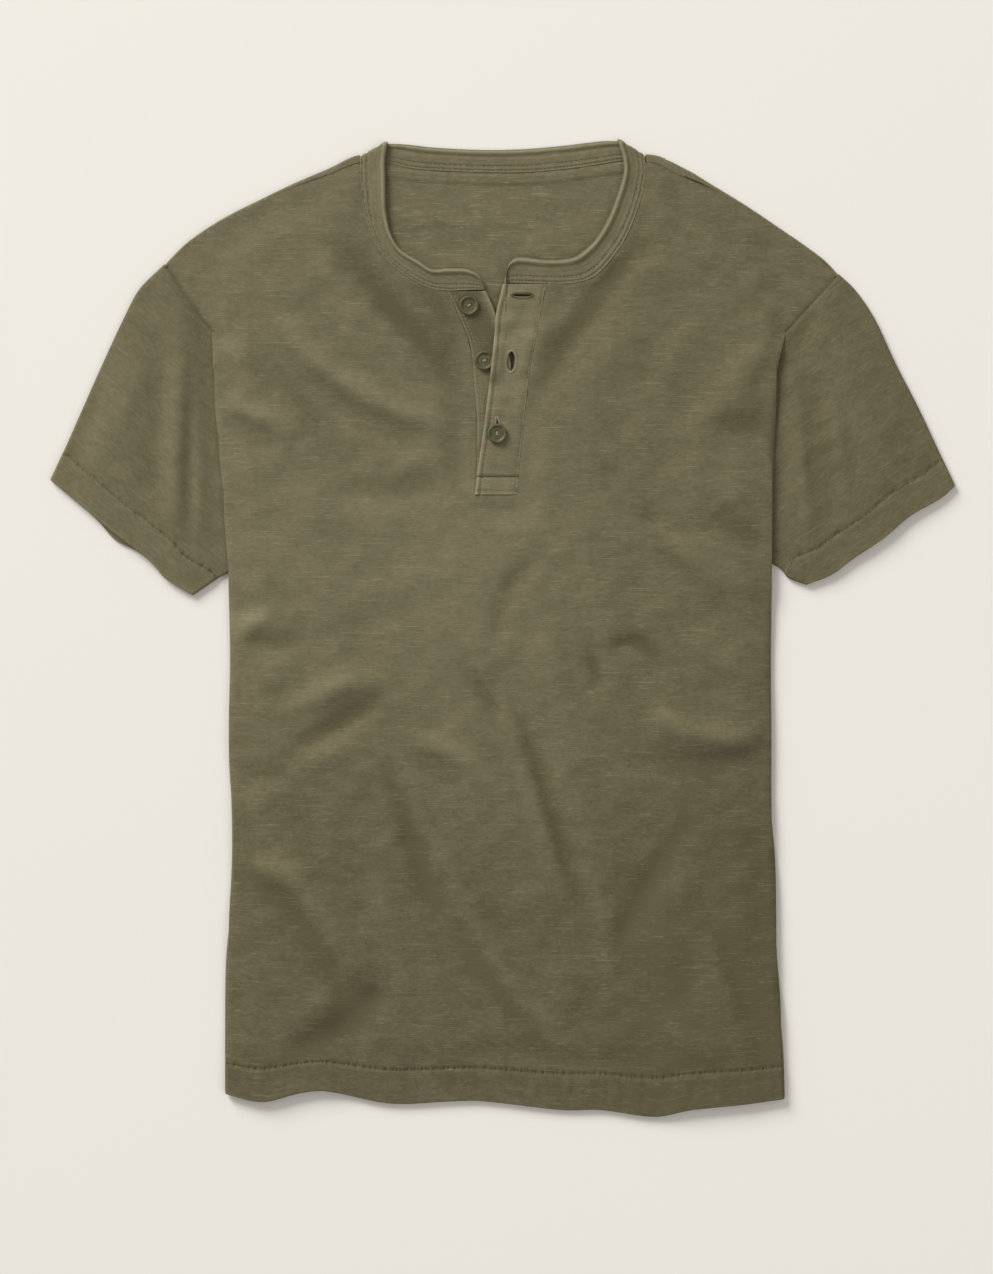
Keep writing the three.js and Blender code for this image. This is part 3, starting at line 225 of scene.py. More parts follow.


# %% [markdown]
# ## Creases
# Jersey that has been washed and laid down keeps soft creases: swags that hang from the
# shoulders, diagonals that run to the placket, and a few long ridges over the belly. Cloth
# simulation would give creases, but not these. So each one is listed as a path of
# three points with a half width and a height. Ridges are positive and troughs negative, and
# their lengths, widths and depths vary as real ones do. The crease heights also tint the
# cloth: painted light on the ridges and painted shade in the troughs. A second table of the
# same kind gives strips of painted shade and painted light along the creases. It changes the
# colour and not the form.

# %% Creases of the front
CREASES = table("x1 y1 x2 y2 x3 y3 half height", [
    # Diagonals from the shoulders to the placket
    (-128, 297, -79, 238, -26, 178, 10, -3.0), (-138, 280, -98, 236, -52, 196, 13, 0.7),
    (112, 300, 67, 244, 22, 176, 9, -3.0), (136, 276, 98, 226, 52, 170, 14, 0.4),
    (-62, 262, -52, 246, -40, 222, 10, -2.0), (-92, 262, -58, 214, -34, 168, 8, -1.4),
    # Swags across the left of the chest
    (-166, 243, -125, 190, -29, 147, 9, 3.4), (-155, 197, -112, 162, -56, 140, 8, -3.4),
    (-189, 205, -142, 158, -116, 112, 9, -3.2), (-120, 112, -80, 103, -40, 120, 8, -3.2),
    (-208, 158, -190, 148, -170, 132, 7, -3.0), (-212, 174, -186, 160, -155, 143, 9, 2.8),
    (-175, 224, -150, 196, -128, 180, 6, -0.7), (-150, 116, -128, 88, -96, 78, 9, 0.8),
    # Shoulders and armholes
    (-220, 293, -170, 318, -117, 338, 11, -1.2), (120, 342, 168, 305, 239, 275, 10, -1.6),
    (212, 258, 197, 212, 166, 162, 10, 1.0), (218, 236, 210, 205, 196, 176, 7, -1.0),
    (166, 155, 184, 156, 201, 151, 7, -4.4), (160, 88, 182, 72, 198, 62, 8, -5.0),
    (182, 128, 170, 108, 164, 92, 9, 0.6), (150, 240, 128, 196, 112, 150, 13, 0.4),
    (60, 214, 66, 160, 54, 118, 12, 0.5), (92, 180, 88, 130, 72, 96, 11, -0.6),
    # Left side
    (-201, 36, -192, 30, -180, 20, 6, 0.8), (-206, -4, -190, 3, -172, 14, 8, 2.2),
    (-194, -18, -172, -12, -150, -14, 7, -3.6), (-188, -56, -174, -50, -160, -52, 6, -1.0),
    (-198, 84, -184, 70, -160, 66, 9, -0.8), (-196, -104, -184, -112, -166, -110, 8, -1.6),
    # Long ridge on the left of the belly, with its troughs
    (-160, -66, -124, -46, -92, -43, 10, 2.8), (-158, -92, -126, -75, -95, -56, 6, -4.6),
    (-158, -110, -132, -98, -105, -86, 10, 2.0), (-112, -14, -92, 6, -62, 24, 8, -1.0),
    # Lower left
    (-197, -193, -162, -212, -139, -254, 8, -2.2), (-193, -177, -150, -204, -105, -274, 10, 3.4),
    (-163, -327, -122, -306, -90, -273, 8, -4.2), (-172, -302, -140, -288, -112, -256, 9, 1.4),
    (-150, -240, -128, -272, -108, -300, 9, -2.2), (-92, -300, -70, -322, -52, -340, 9, 0.6),
    # Middle
    (8, -58, 30, -112, 60, -216, 7, -2.2), (1, -60, 26, -134, 54, -220, 7, 1.9),
    (-29, -33, -14, -50, -2, -71, 6, -2.8), (-86, -109, -70, -160, -48, -231, 7, -3.2),
    (-82, -159, -70, -164, -59, -170, 5, -3.2), (-36, -178, 0, -236, 36, -316, 8, -3.0),
    (-56, -155, -10, -226, 44, -323, 9, 2.0), (-70, -84, -34, -98, -6, -126, 9, 2.6),
    (-70, -100, -50, -108, -28, -124, 8, -2.4), (-2, -10, 2, 22, 29, 52, 7, -2.8),
    (-30, 66, -6, 40, 8, 4, 9, 0.9), (26, 10, 40, -24, 44, -60, 8, 0.9),
    (64, -170, 78, -226, 84, -290, 10, 1.5), (-100, -190, -84, -236, -70, -290, 9, 1.9),
    # Right of the belly
    (67, -17, 70, -32, 75, -48, 5, -3.6), (82, -21, 100, -12, 117, -29, 5, -4.6),
    (143, 44, 168, 16, 186, -10, 8, -1.4), (105, 90, 114, 86, 121, 78, 6, -1.5),
    (113, 59, 128, 50, 144, 36, 7, -0.8), (122, 66, 146, 52, 164, 30, 8, 2.4),
    (108, -58, 150, -82, 203, -80, 10, 3.4), (105, -101, 151, -106, 201, -98, 8, -4.2),
    (150, -113, 160, -118, 168, -124, 6, -2.0), (150, 2, 170, -26, 196, -44, 9, 1.3),
    (136, -155, 113, -193, 90, -239, 9, -2.2), (152, -160, 132, -206, 106, -256, 11, 1.1),
    (166, -239, 189, -285, 204, -331, 9, -2.8), (150, -232, 172, -282, 186, -334, 10, 1.8),
    (136, -254, 140, -270, 144, -286, 7, -1.5), (-33, -323, 36, -328, 105, -335, 7, -2.0),
    (118, -308, 150, -318, 178, -330, 9, 1.1), (182, -150, 196, -176, 203, -204, 8, -1.3),
])
# Strips of painted shade (negative) and painted light (positive) along the creases, in the crease
# table's columns.
PAINTED_SHADING_STRIPS = table("x1 y1 x2 y2 x3 y3 half height", [
    # Under the neckband, down to the placket
    (-132, 302, -79, 238, -24, 174, 10, -6.0), (-118, 296, -70, 238, -30, 196, 19, -1.6),
    (116, 304, 67, 245, 20, 172, 8, -6.5), (104, 300, 60, 246, 26, 200, 17, -1.4),
    (-66, 270, -52, 248, -34, 214, 13, -6.5),
    # Belly and hem
    (-85, -112, -64, -178, -40, -226, 7, -3.6), (-46, -212, -11, -265, 30, -318, 8, -5.0),
    (-36, -222, 4, -268, 46, -320, 8, 2.6), (-160, -322, -126, -298, -92, -266, 12, -4.2),
    (-206, -190, -164, -216, -112, -278, 7, -3.4), (66, -10, 69, -28, 77, -46, 5, -2.0),
    (82, -22, 104, -10, 126, -36, 5, -4.2), (150, -132, 120, -184, 88, -244, 9, -2.8),
    (8, -58, 30, -122, 64, -230, 6, -2.4), (24, -62, 52, -136, 80, -222, 9, 1.4),
    (-72, -84, -34, -98, -6, -126, 8, 1.6), (-160, -130, -150, -150, -146, -172, 9, -1.8),
    (96, 95, 108, 88, 121, 77, 6, -2.6), (111, 65, 128, 52, 147, 33, 7, -2.6),
    (162, 91, 182, 77, 204, 66, 7, -2.6), (136, 78, 150, 66, 168, 46, 8, 1.4),
    (118, -112, 160, -126, 204, -118, 15, -1.6), (112, -230, 132, -276, 146, -324, 8, -1.8),
    (-24, -36, -11, -60, 0, -82, 7, -1.6), (150, 160, 176, 152, 204, 158, 6, -3.8),
    (-206, -2, -190, 5, -172, 16, 7, 1.8),
])
CREASE_STEPS = 10


def crease_height(x, y, creases, room):
    """The sum of the creases at each point, with troughs that stop at what lies below."""
    total = np.zeros(np.shape(x))
    for row in zip(*creases.values()):
        x1, y1, x2, y2, x3, y3, half, height = row
        start, end = np.array((x1, y1)), np.array((x3, y3))
        bend = 2 * np.array((x2, y2)) - (start + end) / 2
        t = np.linspace(0, 1, CREASE_STEPS + 1)[:, None]
        line = (1 - t) ** 2 * start + 2 * t * (1 - t) * bend + t * t * end
        near = np.hypot(x - x2, y - y2) < math.dist(start, end) / 2 + 4 * half + 12
        away, along = distance_to(x[near], y[near], line)
        fade = np.sin(np.pi * np.clip(along, 0.02, 0.98)) ** 0.7
        total[near] += height * fade * bell(away, 0, half)
    return np.where(total < 0, -room * (1 - np.exp(np.minimum(total, 0) / room)), total)


def ripple(x, y, seed, waves=26, shortest=16, longest=75):
    """Gentle unevenness of washed cloth, from about -1 to 1: many faint waves at all angles."""
    draw = np.random.default_rng(seed)
    total = np.zeros(np.shape(x))
    for _ in range(waves):
        length = shortest * (longest / shortest) ** draw.random()
        angle = draw.random() * math.pi
        phase = draw.random() * 2 * math.pi
        across = x * math.cos(angle) + y * math.sin(angle)
        total += (length / longest) ** 0.8 * np.sin(2 * math.pi * across / length + phase)
    return total / (0.45 * math.sqrt(waves))


# %% [markdown]
# ## The level of the front
# The front lies close to the back where something holds it: at the placket slit, round the
# neck, along the shoulders and at the side folds. Between those it floats and creases.

# %% Level of the front panel
SLIT_LINE = [(-6, 112), (-10, 265)]
CREASE_GAIN = 1.6
# How strongly crease heights tint the cloth: painted shade in troughs, painted light on ridges.
CREASE_PAINTED_SHADING = 0.052
FRONT_RIPPLE = 0.42
HEM_STEP = 0.7
STITCH_GROOVE = 0.3
NECK_MIDDLE_Y = 335
NECK_ROUNDNESS = 1.1


def from_neck_middle(x, y):
    return np.hypot(x, (y - NECK_MIDDLE_Y) * NECK_ROUNDNESS)


def raise_hem(t):
    """Height gained over a turned-up hem, and the groove that its stitches pull in."""
    above = t - (HEM_LEVEL + BODY_HEM)
    return HEM_STEP * smooth(-above / 3 + 0.2) - STITCH_GROOVE * bell(above, 0, 1.3)


def front_level(x, y):
    low_y = np.minimum(y, PINCH_Y)
    inside = np.minimum(x - side_left(low_y), side_right(low_y) - x)
    from_side = smooth(inside / 30)
    side = np.maximum(from_side, smooth((y - PINCH_Y + 40) / 40))
    from_slit = distance_to(x, y, SLIT_LINE)[0]
    from_neck = from_neck_middle(x, y)
    from_top = shoulder_y(x) - y
    hem = smooth((y - hem_y(x)) / HEM_BLEND)
    below = back_level(x, y)
    free = smooth((from_slit - 22) / 22) * smooth((from_neck - 105) / 24) * smooth(from_top / 40)
    free = free * hem * from_side * (1 - 0.12 * below)
    lift = NECK_LIFT * side * lerp(0.6, 1, hem) + (FLOAT - NECK_LIFT) * free
    creases = CREASE_GAIN * crease_height(x, y, CREASES, FLOAT)
    soft = smooth((from_slit - 18) / 14) * smooth((from_neck - 103) / 13) * smooth(from_top / 16)
    soft = soft * smooth(inside / 14) * lerp(0.15, 1, smooth((y - hem_y(x) - 12) / 40))
    moved = soft * (creases + FRONT_RIPPLE * ripple(x, y, seed=3))
    room = lift + 0.15
    moved = np.where(moved < 0, -room * (1 - np.exp(np.minimum(moved, 0) / room)), moved)
    return below + PITCH + lift + moved


# %% [markdown]
# ## Cutting cloth
# The real pieces are cut from flat jersey, so the meshes are too. A bmesh grid is the flat
# cloth. `bisect_plane` makes one straight upright cut for each side of the outline, only in
# the faces that this side crosses, and what lies outside is deleted. The flat place of each
# point is kept as the UV map, in metres, so the knit has its real size and its streaks run
# across the piece however it is folded later.

# %% Flat cloth and its outline
def flat_cloth(left, right, bottom, top, step):
    """A grid of flat cloth with cells of about step, in millimetres."""
    bm = bmesh.new()
    across = round((right - left) / step)
    along = round((top - bottom) / step)
    bmesh.ops.create_grid(bm, x_segments=across, y_segments=along, size=0.5)
    bmesh.ops.scale(bm, vec=(right - left, top - bottom, 1), verts=bm.verts)
    middle = ((left + right) / 2, (bottom + top) / 2, 0)
    bmesh.ops.translate(bm, vec=middle, verts=bm.verts)
    return bm


def inside_outline(points, outline):
    """True for the points that lie inside a closed outline."""
    x, y = points[:, 0], points[:, 1]
    inside = np.zeros(len(points), bool)
    for (ax, ay), (bx, by) in zip(outline, np.roll(outline, -1, axis=0)):
        if ay == by:
            continue
        crosses = (ay > y) != (by > y)
        inside ^= crosses & (x < ax + (y - ay) * (bx - ax) / (by - ay))
    return inside


def centres_of(faces):
    return np.array([f.calc_center_median()[:2] for f in faces])


def cut_cloth(bm, outline, keep="inside"):
    """Cut flat cloth along a closed outline and keep what lies inside or outside it."""
    outline = np.array(outline, float)
    closed = np.vstack([outline, outline[:1]])
    centres = centres_of(bm.faces)
    reach = 2 * max(e.calc_length() for e in list(bm.edges)[:200])
    near = distance_to(centres[:, 0], centres[:, 1], closed)[0] < reach
    faces = [(f, c) for f, c, n in zip(bm.faces, centres, near) if n]
    for a, b in zip(closed[:-1], closed[1:]):
        length = math.dist(a, b)
        if length < 1e-4:
            continue
        along = Vector((*(b - a) / length, 0))
        square = Vector((along.y, -along.x, 0))
        origin = Vector((*a, 0))
        middle = (a + b) / 2
        crossed = []
        for f, c in faces:
            if not f.is_valid or math.dist(c, middle) > length / 2 + reach:
                continue
            off = [(v.co - origin).dot(square) for v in f.verts]
            on = [(v.co - origin).dot(along) for v in f.verts]
            if min(off) < -1e-4 and max(off) > 1e-4 and max(on) > 0 and min(on) < length:
                crossed.append(f)
        edges = {e for f in crossed for e in f.edges}
        verts = {v for f in crossed for v in f.verts}
        made = bmesh.ops.bisect_plane(
            bm, geom=[*crossed, *edges, *verts], dist=1e-4, plane_co=origin, plane_no=square)
        known = set(crossed)
        fresh = [g for g in made["geom"] if isinstance(g, bmesh.types.BMFace)]
        faces += [(f, f.calc_center_median()[:2]) for f in fresh if f not in known]
    keeps = inside_outline(centres_of(bm.faces), outline)
    if keep == "outside":
        keeps = ~keeps
    gone = [f for f, kept in zip(bm.faces, keeps) if not kept]
    bmesh.ops.delete(bm, geom=gone, context="FACES")


def refine(bm, wanted):
    """Halve the cells of the faces whose centres wanted() picks."""
    centres = centres_of(bm.faces)
    picked = wanted(centres[:, 0], centres[:, 1])
    edges = {e for f, p in zip(bm.faces, picked) if p and len(f.verts) == 4 for e in f.edges}
    bmesh.ops.subdivide_edges(bm, edges=list(edges), cuts=1, use_grid_fill=True)


CUT_MARGIN = 3


def cloth_for(outline, cell):
    """Flat cloth that an outline fits on, and the width and length of the cut."""
    low_x, low_y = np.min(outline, axis=0) - CUT_MARGIN
    high_x, high_y = np.max(outline, axis=0) + CUT_MARGIN
    size = (high_x - low_x - 2 * CUT_MARGIN, high_y - low_y - 2 * CUT_MARGIN)
    return flat_cloth(low_x, high_x, low_y, high_y, cell), size


# %% [markdown]
# ## From flat to laid
# `lay_cloth` writes the mesh of a piece: it keeps the flat coordinates as UVs, moves every
# point to where the cloth lies, and lets a Solidify modifier give it thickness. A small bevel
# rounds the rims, because a cut or folded edge of jersey is never sharp. A float attribute
# tints the colour at each point: lighter along edges and seams, where garment dyeing wears
# pale, darker along some seams, and painted light and painted shade along the creases, in
# the stitch grooves and where other parts shade the cloth.

# %% Meshes and objects
def mesh_of(bm, name):
    """A mesh made from a bmesh, which is freed."""
    mesh = bpy.data.meshes.new(name)
    bm.to_mesh(mesh)
    bm.free()
    return mesh


def add_object(name, data):
    """An object of the scene for a mesh, a light or a camera."""
    thing = bpy.data.objects.new(name, data)
    bpy.context.collection.objects.link(thing)
    return thing


def weld(mesh, reach, close=False):
    """Merge points that are closer than reach, in millimetres, and fill the holes if asked."""
    bm = bmesh.new()
    bm.from_mesh(mesh)
    bmesh.ops.remove_doubles(bm, verts=bm.verts, dist=reach * MM)
    if close:
        bmesh.ops.holes_fill(bm, edges=[e for e in bm.edges if e.is_boundary], sides=0)
    bmesh.ops.recalc_face_normals(bm, faces=bm.faces)
    bm.to_mesh(mesh)
    bm.free()
    mesh.shade_smooth()


# %% Writing a cloth piece
def lay_cloth(bm, name, place, material, cut=None, wear_and_painted_shading=None, joined=False, wall=CLOTH,
              rim=0.3):
    """Lay flat cloth with place(s, t), and give it its UVs, its wall and its finish."""
    mesh = mesh_of(bm, name)
    flat = np.empty(len(mesh.vertices) * 3)
    mesh.vertices.foreach_get("co", flat)
    s, t = flat.reshape(-1, 3)[:, :2].T
    spots = np.stack(place(s, t), axis=-1) * MM
    # Per-point tint of the colour: lighter and darker seams, with painted light and painted shade.
    wear_and_shade = mesh.attributes.new("wear_and_painted_shading", "FLOAT", "POINT")
    wear_and_shade.data.foreach_set("value", np.zeros(len(s)) if wear_and_painted_shading is None else wear_and_painted_shading(s, t))
    corner = np.empty(len(mesh.loops), int)
    mesh.loops.foreach_get("vertex_index", corner)
    pattern = np.stack((s, t) if cut is None else cut(s, t), axis=-1) * MM
    mesh.uv_layers.new(name="cut").data.foreach_set("uv", pattern[corner].ravel())
    mesh.vertices.foreach_set("co", spots.ravel())
    if joined:
        weld(mesh, 0.01, close=True)
    mesh.shade_smooth()
    piece = add_object(name, mesh)
    if wall:
        shell = piece.modifiers.new("wall", "SOLIDIFY")
        shell.thickness = wall * MM
        shell.offset = 0
    if rim:
        edge = piece.modifiers.new("rim", "BEVEL")
        edge.width = rim * MM
        edge.segments = 2
        edge.angle_limit = math.radians(55)
    mesh.materials.append(material)
    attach(piece, BODY)
    print(name, "points", len(mesh.vertices), "faces", len(mesh.polygons))
    return piece


# %% [markdown]
# ## Slub jersey
# Slub yarn is spun thick and thin, so the knit shows short pale streaks that run across the
# body, one course high. The cloth was dyed as a finished garment and washed, which leaves soft
# blotches and lighter seams. In the shader the streaks are noise that is stretched along the
# courses and cut off at a threshold, the blotches are wide noise, and the knit itself is a
# small bump made of sines: ribs along the wales, broken into loops along the courses.

# %% Node helpers
def new_material(name):
    """A material, its node tree and its shader."""
    material = bpy.data.materials.new(name)
    material.use_nodes = True
    return material, material.node_tree, material.node_tree.nodes["Principled BSDF"]


def add_node(tree, kind, **values):
    """A node whose plain values are set, and whose inputs are linked where a socket is given."""
    node = tree.nodes.new(kind)
    for key, value in values.items():
        if hasattr(node, key) and not key.startswith("in_"):
            setattr(node, key, value)
            continue
        name = key.removeprefix("in_")
        socket = node.inputs[int(name)] if name.isdigit() else node.inputs[name]
        if isinstance(value, bpy.types.NodeSocket):
            tree.links.new(value, socket)
        else:
            socket.default_value = value
    return node


def math_node(tree, operation, *values):
    inputs = {f"in_{i}": value for i, value in enumerate(values)}
    return add_node(tree, "ShaderNodeMath", operation=operation, **inputs).outputs[0]


def stretched_noise(tree, where, scale, detail=2.0, roughness=0.55):
    """Noise whose cells are stretched: scale gives cells per metre across and along."""
    turned = add_node(tree, "ShaderNodeMapping", in_Vector=where, in_Scale=(*scale, 1))
    noise = add_node(tree, "ShaderNodeTexNoise", noise_dimensions="2D", in_Scale=1.0,
                     in_Vector=turned.outputs[0], in_Detail=detail, in_Roughness=roughness)
    return noise.outputs[0]


def between(tree, value, low, high):
    """A soft step of a value, from 0 at low to 1 at high."""
    step = add_node(tree, "ShaderNodeMapRange", interpolation_type="SMOOTHSTEP",
                    in_Value=value)
    step.inputs["From Min"].default_value = low
    step.inputs["From Max"].default_value = high
    return step.outputs[0]


def mix_colour(tree, share, a, b):
    mix = add_node(tree, "ShaderNodeMix", data_type="RGBA")
    for socket, value in ((mix.inputs[0], share), (mix.inputs[6], a), (mix.inputs[7], b)):
        if isinstance(value, bpy.types.NodeSocket):
            tree.links.new(value, socket)
        else:
            socket.default_value = value
    return mix.outputs[2]


# %% Jersey material
OLIVE_DARK = (0.100, 0.085, 0.044, 1)
OLIVE_PALE = (0.240, 0.215, 0.130, 1)
DYED = 0.36
WALE = 0.80
COURSE = 0.62


def jersey(name, shift, slub=0.30, tone_and_painted_shade=DYED, fade=0.0):
    """Slub jersey, read from the piece's flat cut. shift moves the pattern for each piece."""
    material, tree, shader = new_material(name)
    cut = add_node(tree, "ShaderNodeUVMap", uv_map="cut").outputs[0]
    where = add_node(tree, "ShaderNodeMapping", in_Vector=cut, in_Location=(*shift, 0)).outputs[0]

    short = between(tree, stretched_noise(tree, where, (75, 760)), 0.58, 0.80)
    long = between(tree, stretched_noise(tree, where, (28, 560)), 0.60, 0.82)
    streaks = math_node(tree, "MAXIMUM", short, long)
    blotch = stretched_noise(tree, where, (18, 26), detail=3.0)
    layers = [
        (stretched_noise(tree, where, (520, 1300), detail=1.0), 0.22),
        (stretched_noise(tree, where, (200, 400), detail=3.0, roughness=0.7), 0.50),
        (stretched_noise(tree, where, (60, 115), detail=2.0), 0.34),
        (blotch, 0.22),
    ]
    shade = math_node(tree, "MULTIPLY", streaks, slub)
    shade = math_node(tree, "ADD", shade, tone_and_painted_shade - sum(share for _, share in layers) / 2)
    for noise, share in layers:
        shade = math_node(tree, "MULTIPLY_ADD", noise, share, shade)
    # fade darkens the cloth towards the hem: painted shade of light that falls off down the shirt.
    if fade:
        down = add_node(tree, "ShaderNodeSeparateXYZ", in_Vector=cut).outputs[1]
        wear_and_shade = math_node(tree, "MULTIPLY", between(tree, down, 0.08, -0.26), -fade)
        shade = math_node(tree, "ADD", shade, wear_and_shade)
    # The per-point attribute adds lighter and darker seams and the painted light and shade.
    wear_and_shading_input = add_node(tree, "ShaderNodeAttribute", attribute_name="wear_and_painted_shading").outputs["Fac"]
    shade = math_node(tree, "ADD", shade, wear_and_shading_input)
    colour = mix_colour(tree, shade, OLIVE_DARK, OLIVE_PALE)
    tree.links.new(colour, shader.inputs["Base Color"])

    axes = add_node(tree, "ShaderNodeSeparateXYZ", in_Vector=where)
    wale = math_node(tree, "MULTIPLY", axes.outputs[0], math.pi / (WALE * MM))
    rib = math_node(tree, "ABSOLUTE", math_node(tree, "SINE", wale))
    course = math_node(tree, "MULTIPLY", axes.outputs[1], 2 * math.pi / (COURSE * MM))
    loop = math_node(tree, "SINE", math_node(tree, "ADD", course,
                                             math_node(tree, "MULTIPLY", rib, 2.2)))
    knit = math_node(tree, "MULTIPLY", rib, math_node(tree, "ADD", 0.7,
                                                      math_node(tree, "MULTIPLY", loop, 0.3)))
    yarn = math_node(tree, "ADD", math_node(tree, "MULTIPLY", streaks, 0.9),
                     math_node(tree, "MULTIPLY", knit, 0.5))
    yarn = math_node(tree, "MULTIPLY_ADD", layers[1][0], 0.8, yarn)
    bump = add_node(tree, "ShaderNodeBump", in_Height=yarn, in_Strength=0.6,
                    in_Distance=0.22 * MM)
    tree.links.new(bump.outputs[0], shader.inputs["Normal"])
    rough = add_node(tree, "ShaderNodeMapRange", in_Value=blotch)
    rough.inputs["To Min"].default_value = 0.84
    rough.inputs["To Max"].default_value = 0.97
    tree.links.new(rough.outputs[0], shader.inputs["Roughness"])
    shader.inputs["Specular IOR Level"].default_value = 0.22
    shader.inputs["Sheen Weight"].default_value = 0.12
    shader.inputs["Sheen Roughness"].default_value = 0.55
    shader.inputs["Sheen Tint"].default_value = (0.75, 0.72, 0.55, 1)
    return material


# %% [markdown]
# ## Folding the body
# Where the cut is wider than the shirt as it lies, the cloth runs round the side line and back
# under. `wrap_sides` turns a flat point into a laid one: unchanged on top, on a half circle at
# the side, and upside down underneath. `turn_hem` does the same along the length, for the
# bottom hem that is turned up on the inside and stitched.

# %% Folds at the sides and the hem
HEM_RADIUS = 0.6


def wrap_sides(s, y, depth, inset, low, level, folded_below):
    """Lay cloth across the body and round its side lines."""
    x = s.copy()
    z = level(s, y) + HALF + depth
    for side, edge_of in ((-1, side_left), (1, side_right)):
        edge = edge_of(y) - side * inset
        high = level(edge, y) + HALF
        under = low(y) + HALF
        radius = np.maximum((high - under) / 2 * smooth((PINCH_Y - y) / 20), 0.05)
        start = edge - side * radius
        past = side * (s - start)
        folds = (past > 0) & (y < folded_below)
        angle = np.clip(past / radius, 0, math.pi)
        arc_x = start + side * (radius + depth) * np.sin(angle)
        arc_z = high - radius + (radius + depth) * np.cos(angle)
        beyond = past > math.pi * radius
        x = np.where(folds, np.where(beyond, start - side * (past - math.pi * radius), arc_x), x)
        z = np.where(folds, np.where(beyond, under - depth, arc_z), z)
    return x, z


def turn_hem(t, edge, radius=HEM_RADIUS):
    """Where cloth that turns up at an edge lies along the length, and how deep it is."""
    past = edge + radius - t
    angle = np.clip(past / radius, 0, math.pi)
    y = np.where(past > 0, edge + radius - radius * np.sin(angle), t)
    y = np.where(past > math.pi * radius, edge + radius + past - math.pi * radius, y)
    return y, -radius * (1 - np.cos(angle)) * (past > 0)


def side_cut(y, side, inset, low, level):
    """How far the cut reaches past the side line where it is folded under."""
    edge = (side_left if side < 0 else side_right)(y) - side * inset
    radius = (level(edge, y) - low(y)) / 2
    return edge + side * (tuck_width(y) - inset + (math.pi - 2) * radius)


# %% [markdown]
# ## Neckband stations
# The neckband is a folded strip of the same jersey, 20 mm wide, that runs from one placket
# round the neck to the other. Its two edges are measured at stations. On the front it faces
# up, at the shoulder fold it rolls over, and across the back it shows its inner face, which
# `turn` counts from 0 to 1.

# %% Neckband table
NECKBAND = table("sewn_x sewn_y free_x free_y turn", [
    (-14.0, 257.8, -14.6, 261.5, 0), (-15.2, 258.0, -16.4, 266.0, 0),
    (-18.0, 258.0, -19.4, 269.8, 0), (-23.5, 257.9, -23.8, 272.6, 0),
    (-30.0, 257.6, -29.0, 274.2, 0), (-43.0, 257.2, -42.0, 274.4, 0),
    (-56.0, 259.4, -53.5, 273.8, 0), (-73.0, 268.1, -63.5, 279.8, 0),
    (-88.4, 280.5, -77.2, 288.3, 0), (-99.3, 297.7, -85.2, 301.0, 0),
    (-105.6, 318.0, -88.8, 318.0, 0), (-108.4, 340.0, -89.4, 338.5, 0),
    (-108.8, 351.5, -89.6, 358.0, 0), (-108.6, 358.2, -87.6, 370.0, 0),
    (-108.6, 358.2, -87.6, 370.0, 1), (-89.1, 355.4, -77.0, 369.6, 1),
    (-72.8, 351.5, -65.0, 368.4, 1), (-54.1, 349.5, -50.0, 366.8, 1),
    (-15.0, 347.9, -15.0, 365.2, 1), (16.2, 347.9, 16.2, 365.8, 1),
    (47.4, 350.4, 46.0, 368.3, 1), (70.0, 353.5, 65.0, 370.6, 1), (88.0, 356.4, 78.0, 372.0, 1),
    (109.0, 358.6, 87.6, 371.9, 1), (109.0, 358.6, 87.6, 371.9, 0),
    (109.4, 352.0, 91.8, 359.0, 0), (109.0, 344.6, 92.4, 347.0, 0),
    (105.2, 325.8, 88.1, 331.6, 0), (95.9, 300.8, 80.2, 311.6, 0),
    (84.9, 283.7, 70.8, 296.1, 0), (74.0, 271.2, 60.6, 286.4, 0), (63.1, 264.9, 54.0, 282.8, 0),
    (47.4, 262.5, 44.5, 281.0, 0), (31.0, 262.6, 31.0, 281.0, 0), (16.0, 263.0, 17.0, 282.6, 0),
    (8.5, 263.2, 10.8, 282.4, 0), (5.0, 263.3, 7.4, 280.6, 0), (2.6, 263.4, 4.6, 277.0, 0),
    (1.0, 263.4, 2.6, 270.0, 0),
])
FIRST_BACK, LAST_BACK = np.flatnonzero(NECKBAND["turn"])[[0, -1]]
BAND_PARTS = {
    "front_left": slice(0, FIRST_BACK),
    "back": slice(FIRST_BACK, LAST_BACK + 1),
    "front_right": slice(LAST_BACK + 1, None),
}


def band_edge_of(part, edge):
    """A function for the sewn or the free edge of one part of the band, from 0 to 1."""
    rows = BAND_PARTS[part]
    return path_through(list(zip(NECKBAND[edge + "_x"][rows], NECKBAND[edge + "_y"][rows])))


def seam_of(part, steps=40):
    """Points on the neck seam, along one part of the band."""
    return band_edge_of(part, "sewn")(np.linspace(0, 1, steps))


def length_of(line):
    return float(np.linalg.norm(np.diff(line, axis=0), axis=1).sum())


LEFT_SEAM = seam_of("front_left")
RIGHT_SEAM = seam_of("front_right")
BACK_SEAM = seam_of("back")

# %% [markdown]
# ## Plackets
# The opening of a henley is finished with two strips. The under placket carries the buttons,
# and the upper one, with the buttonholes, lies on it and is boxed with stitches at its foot.

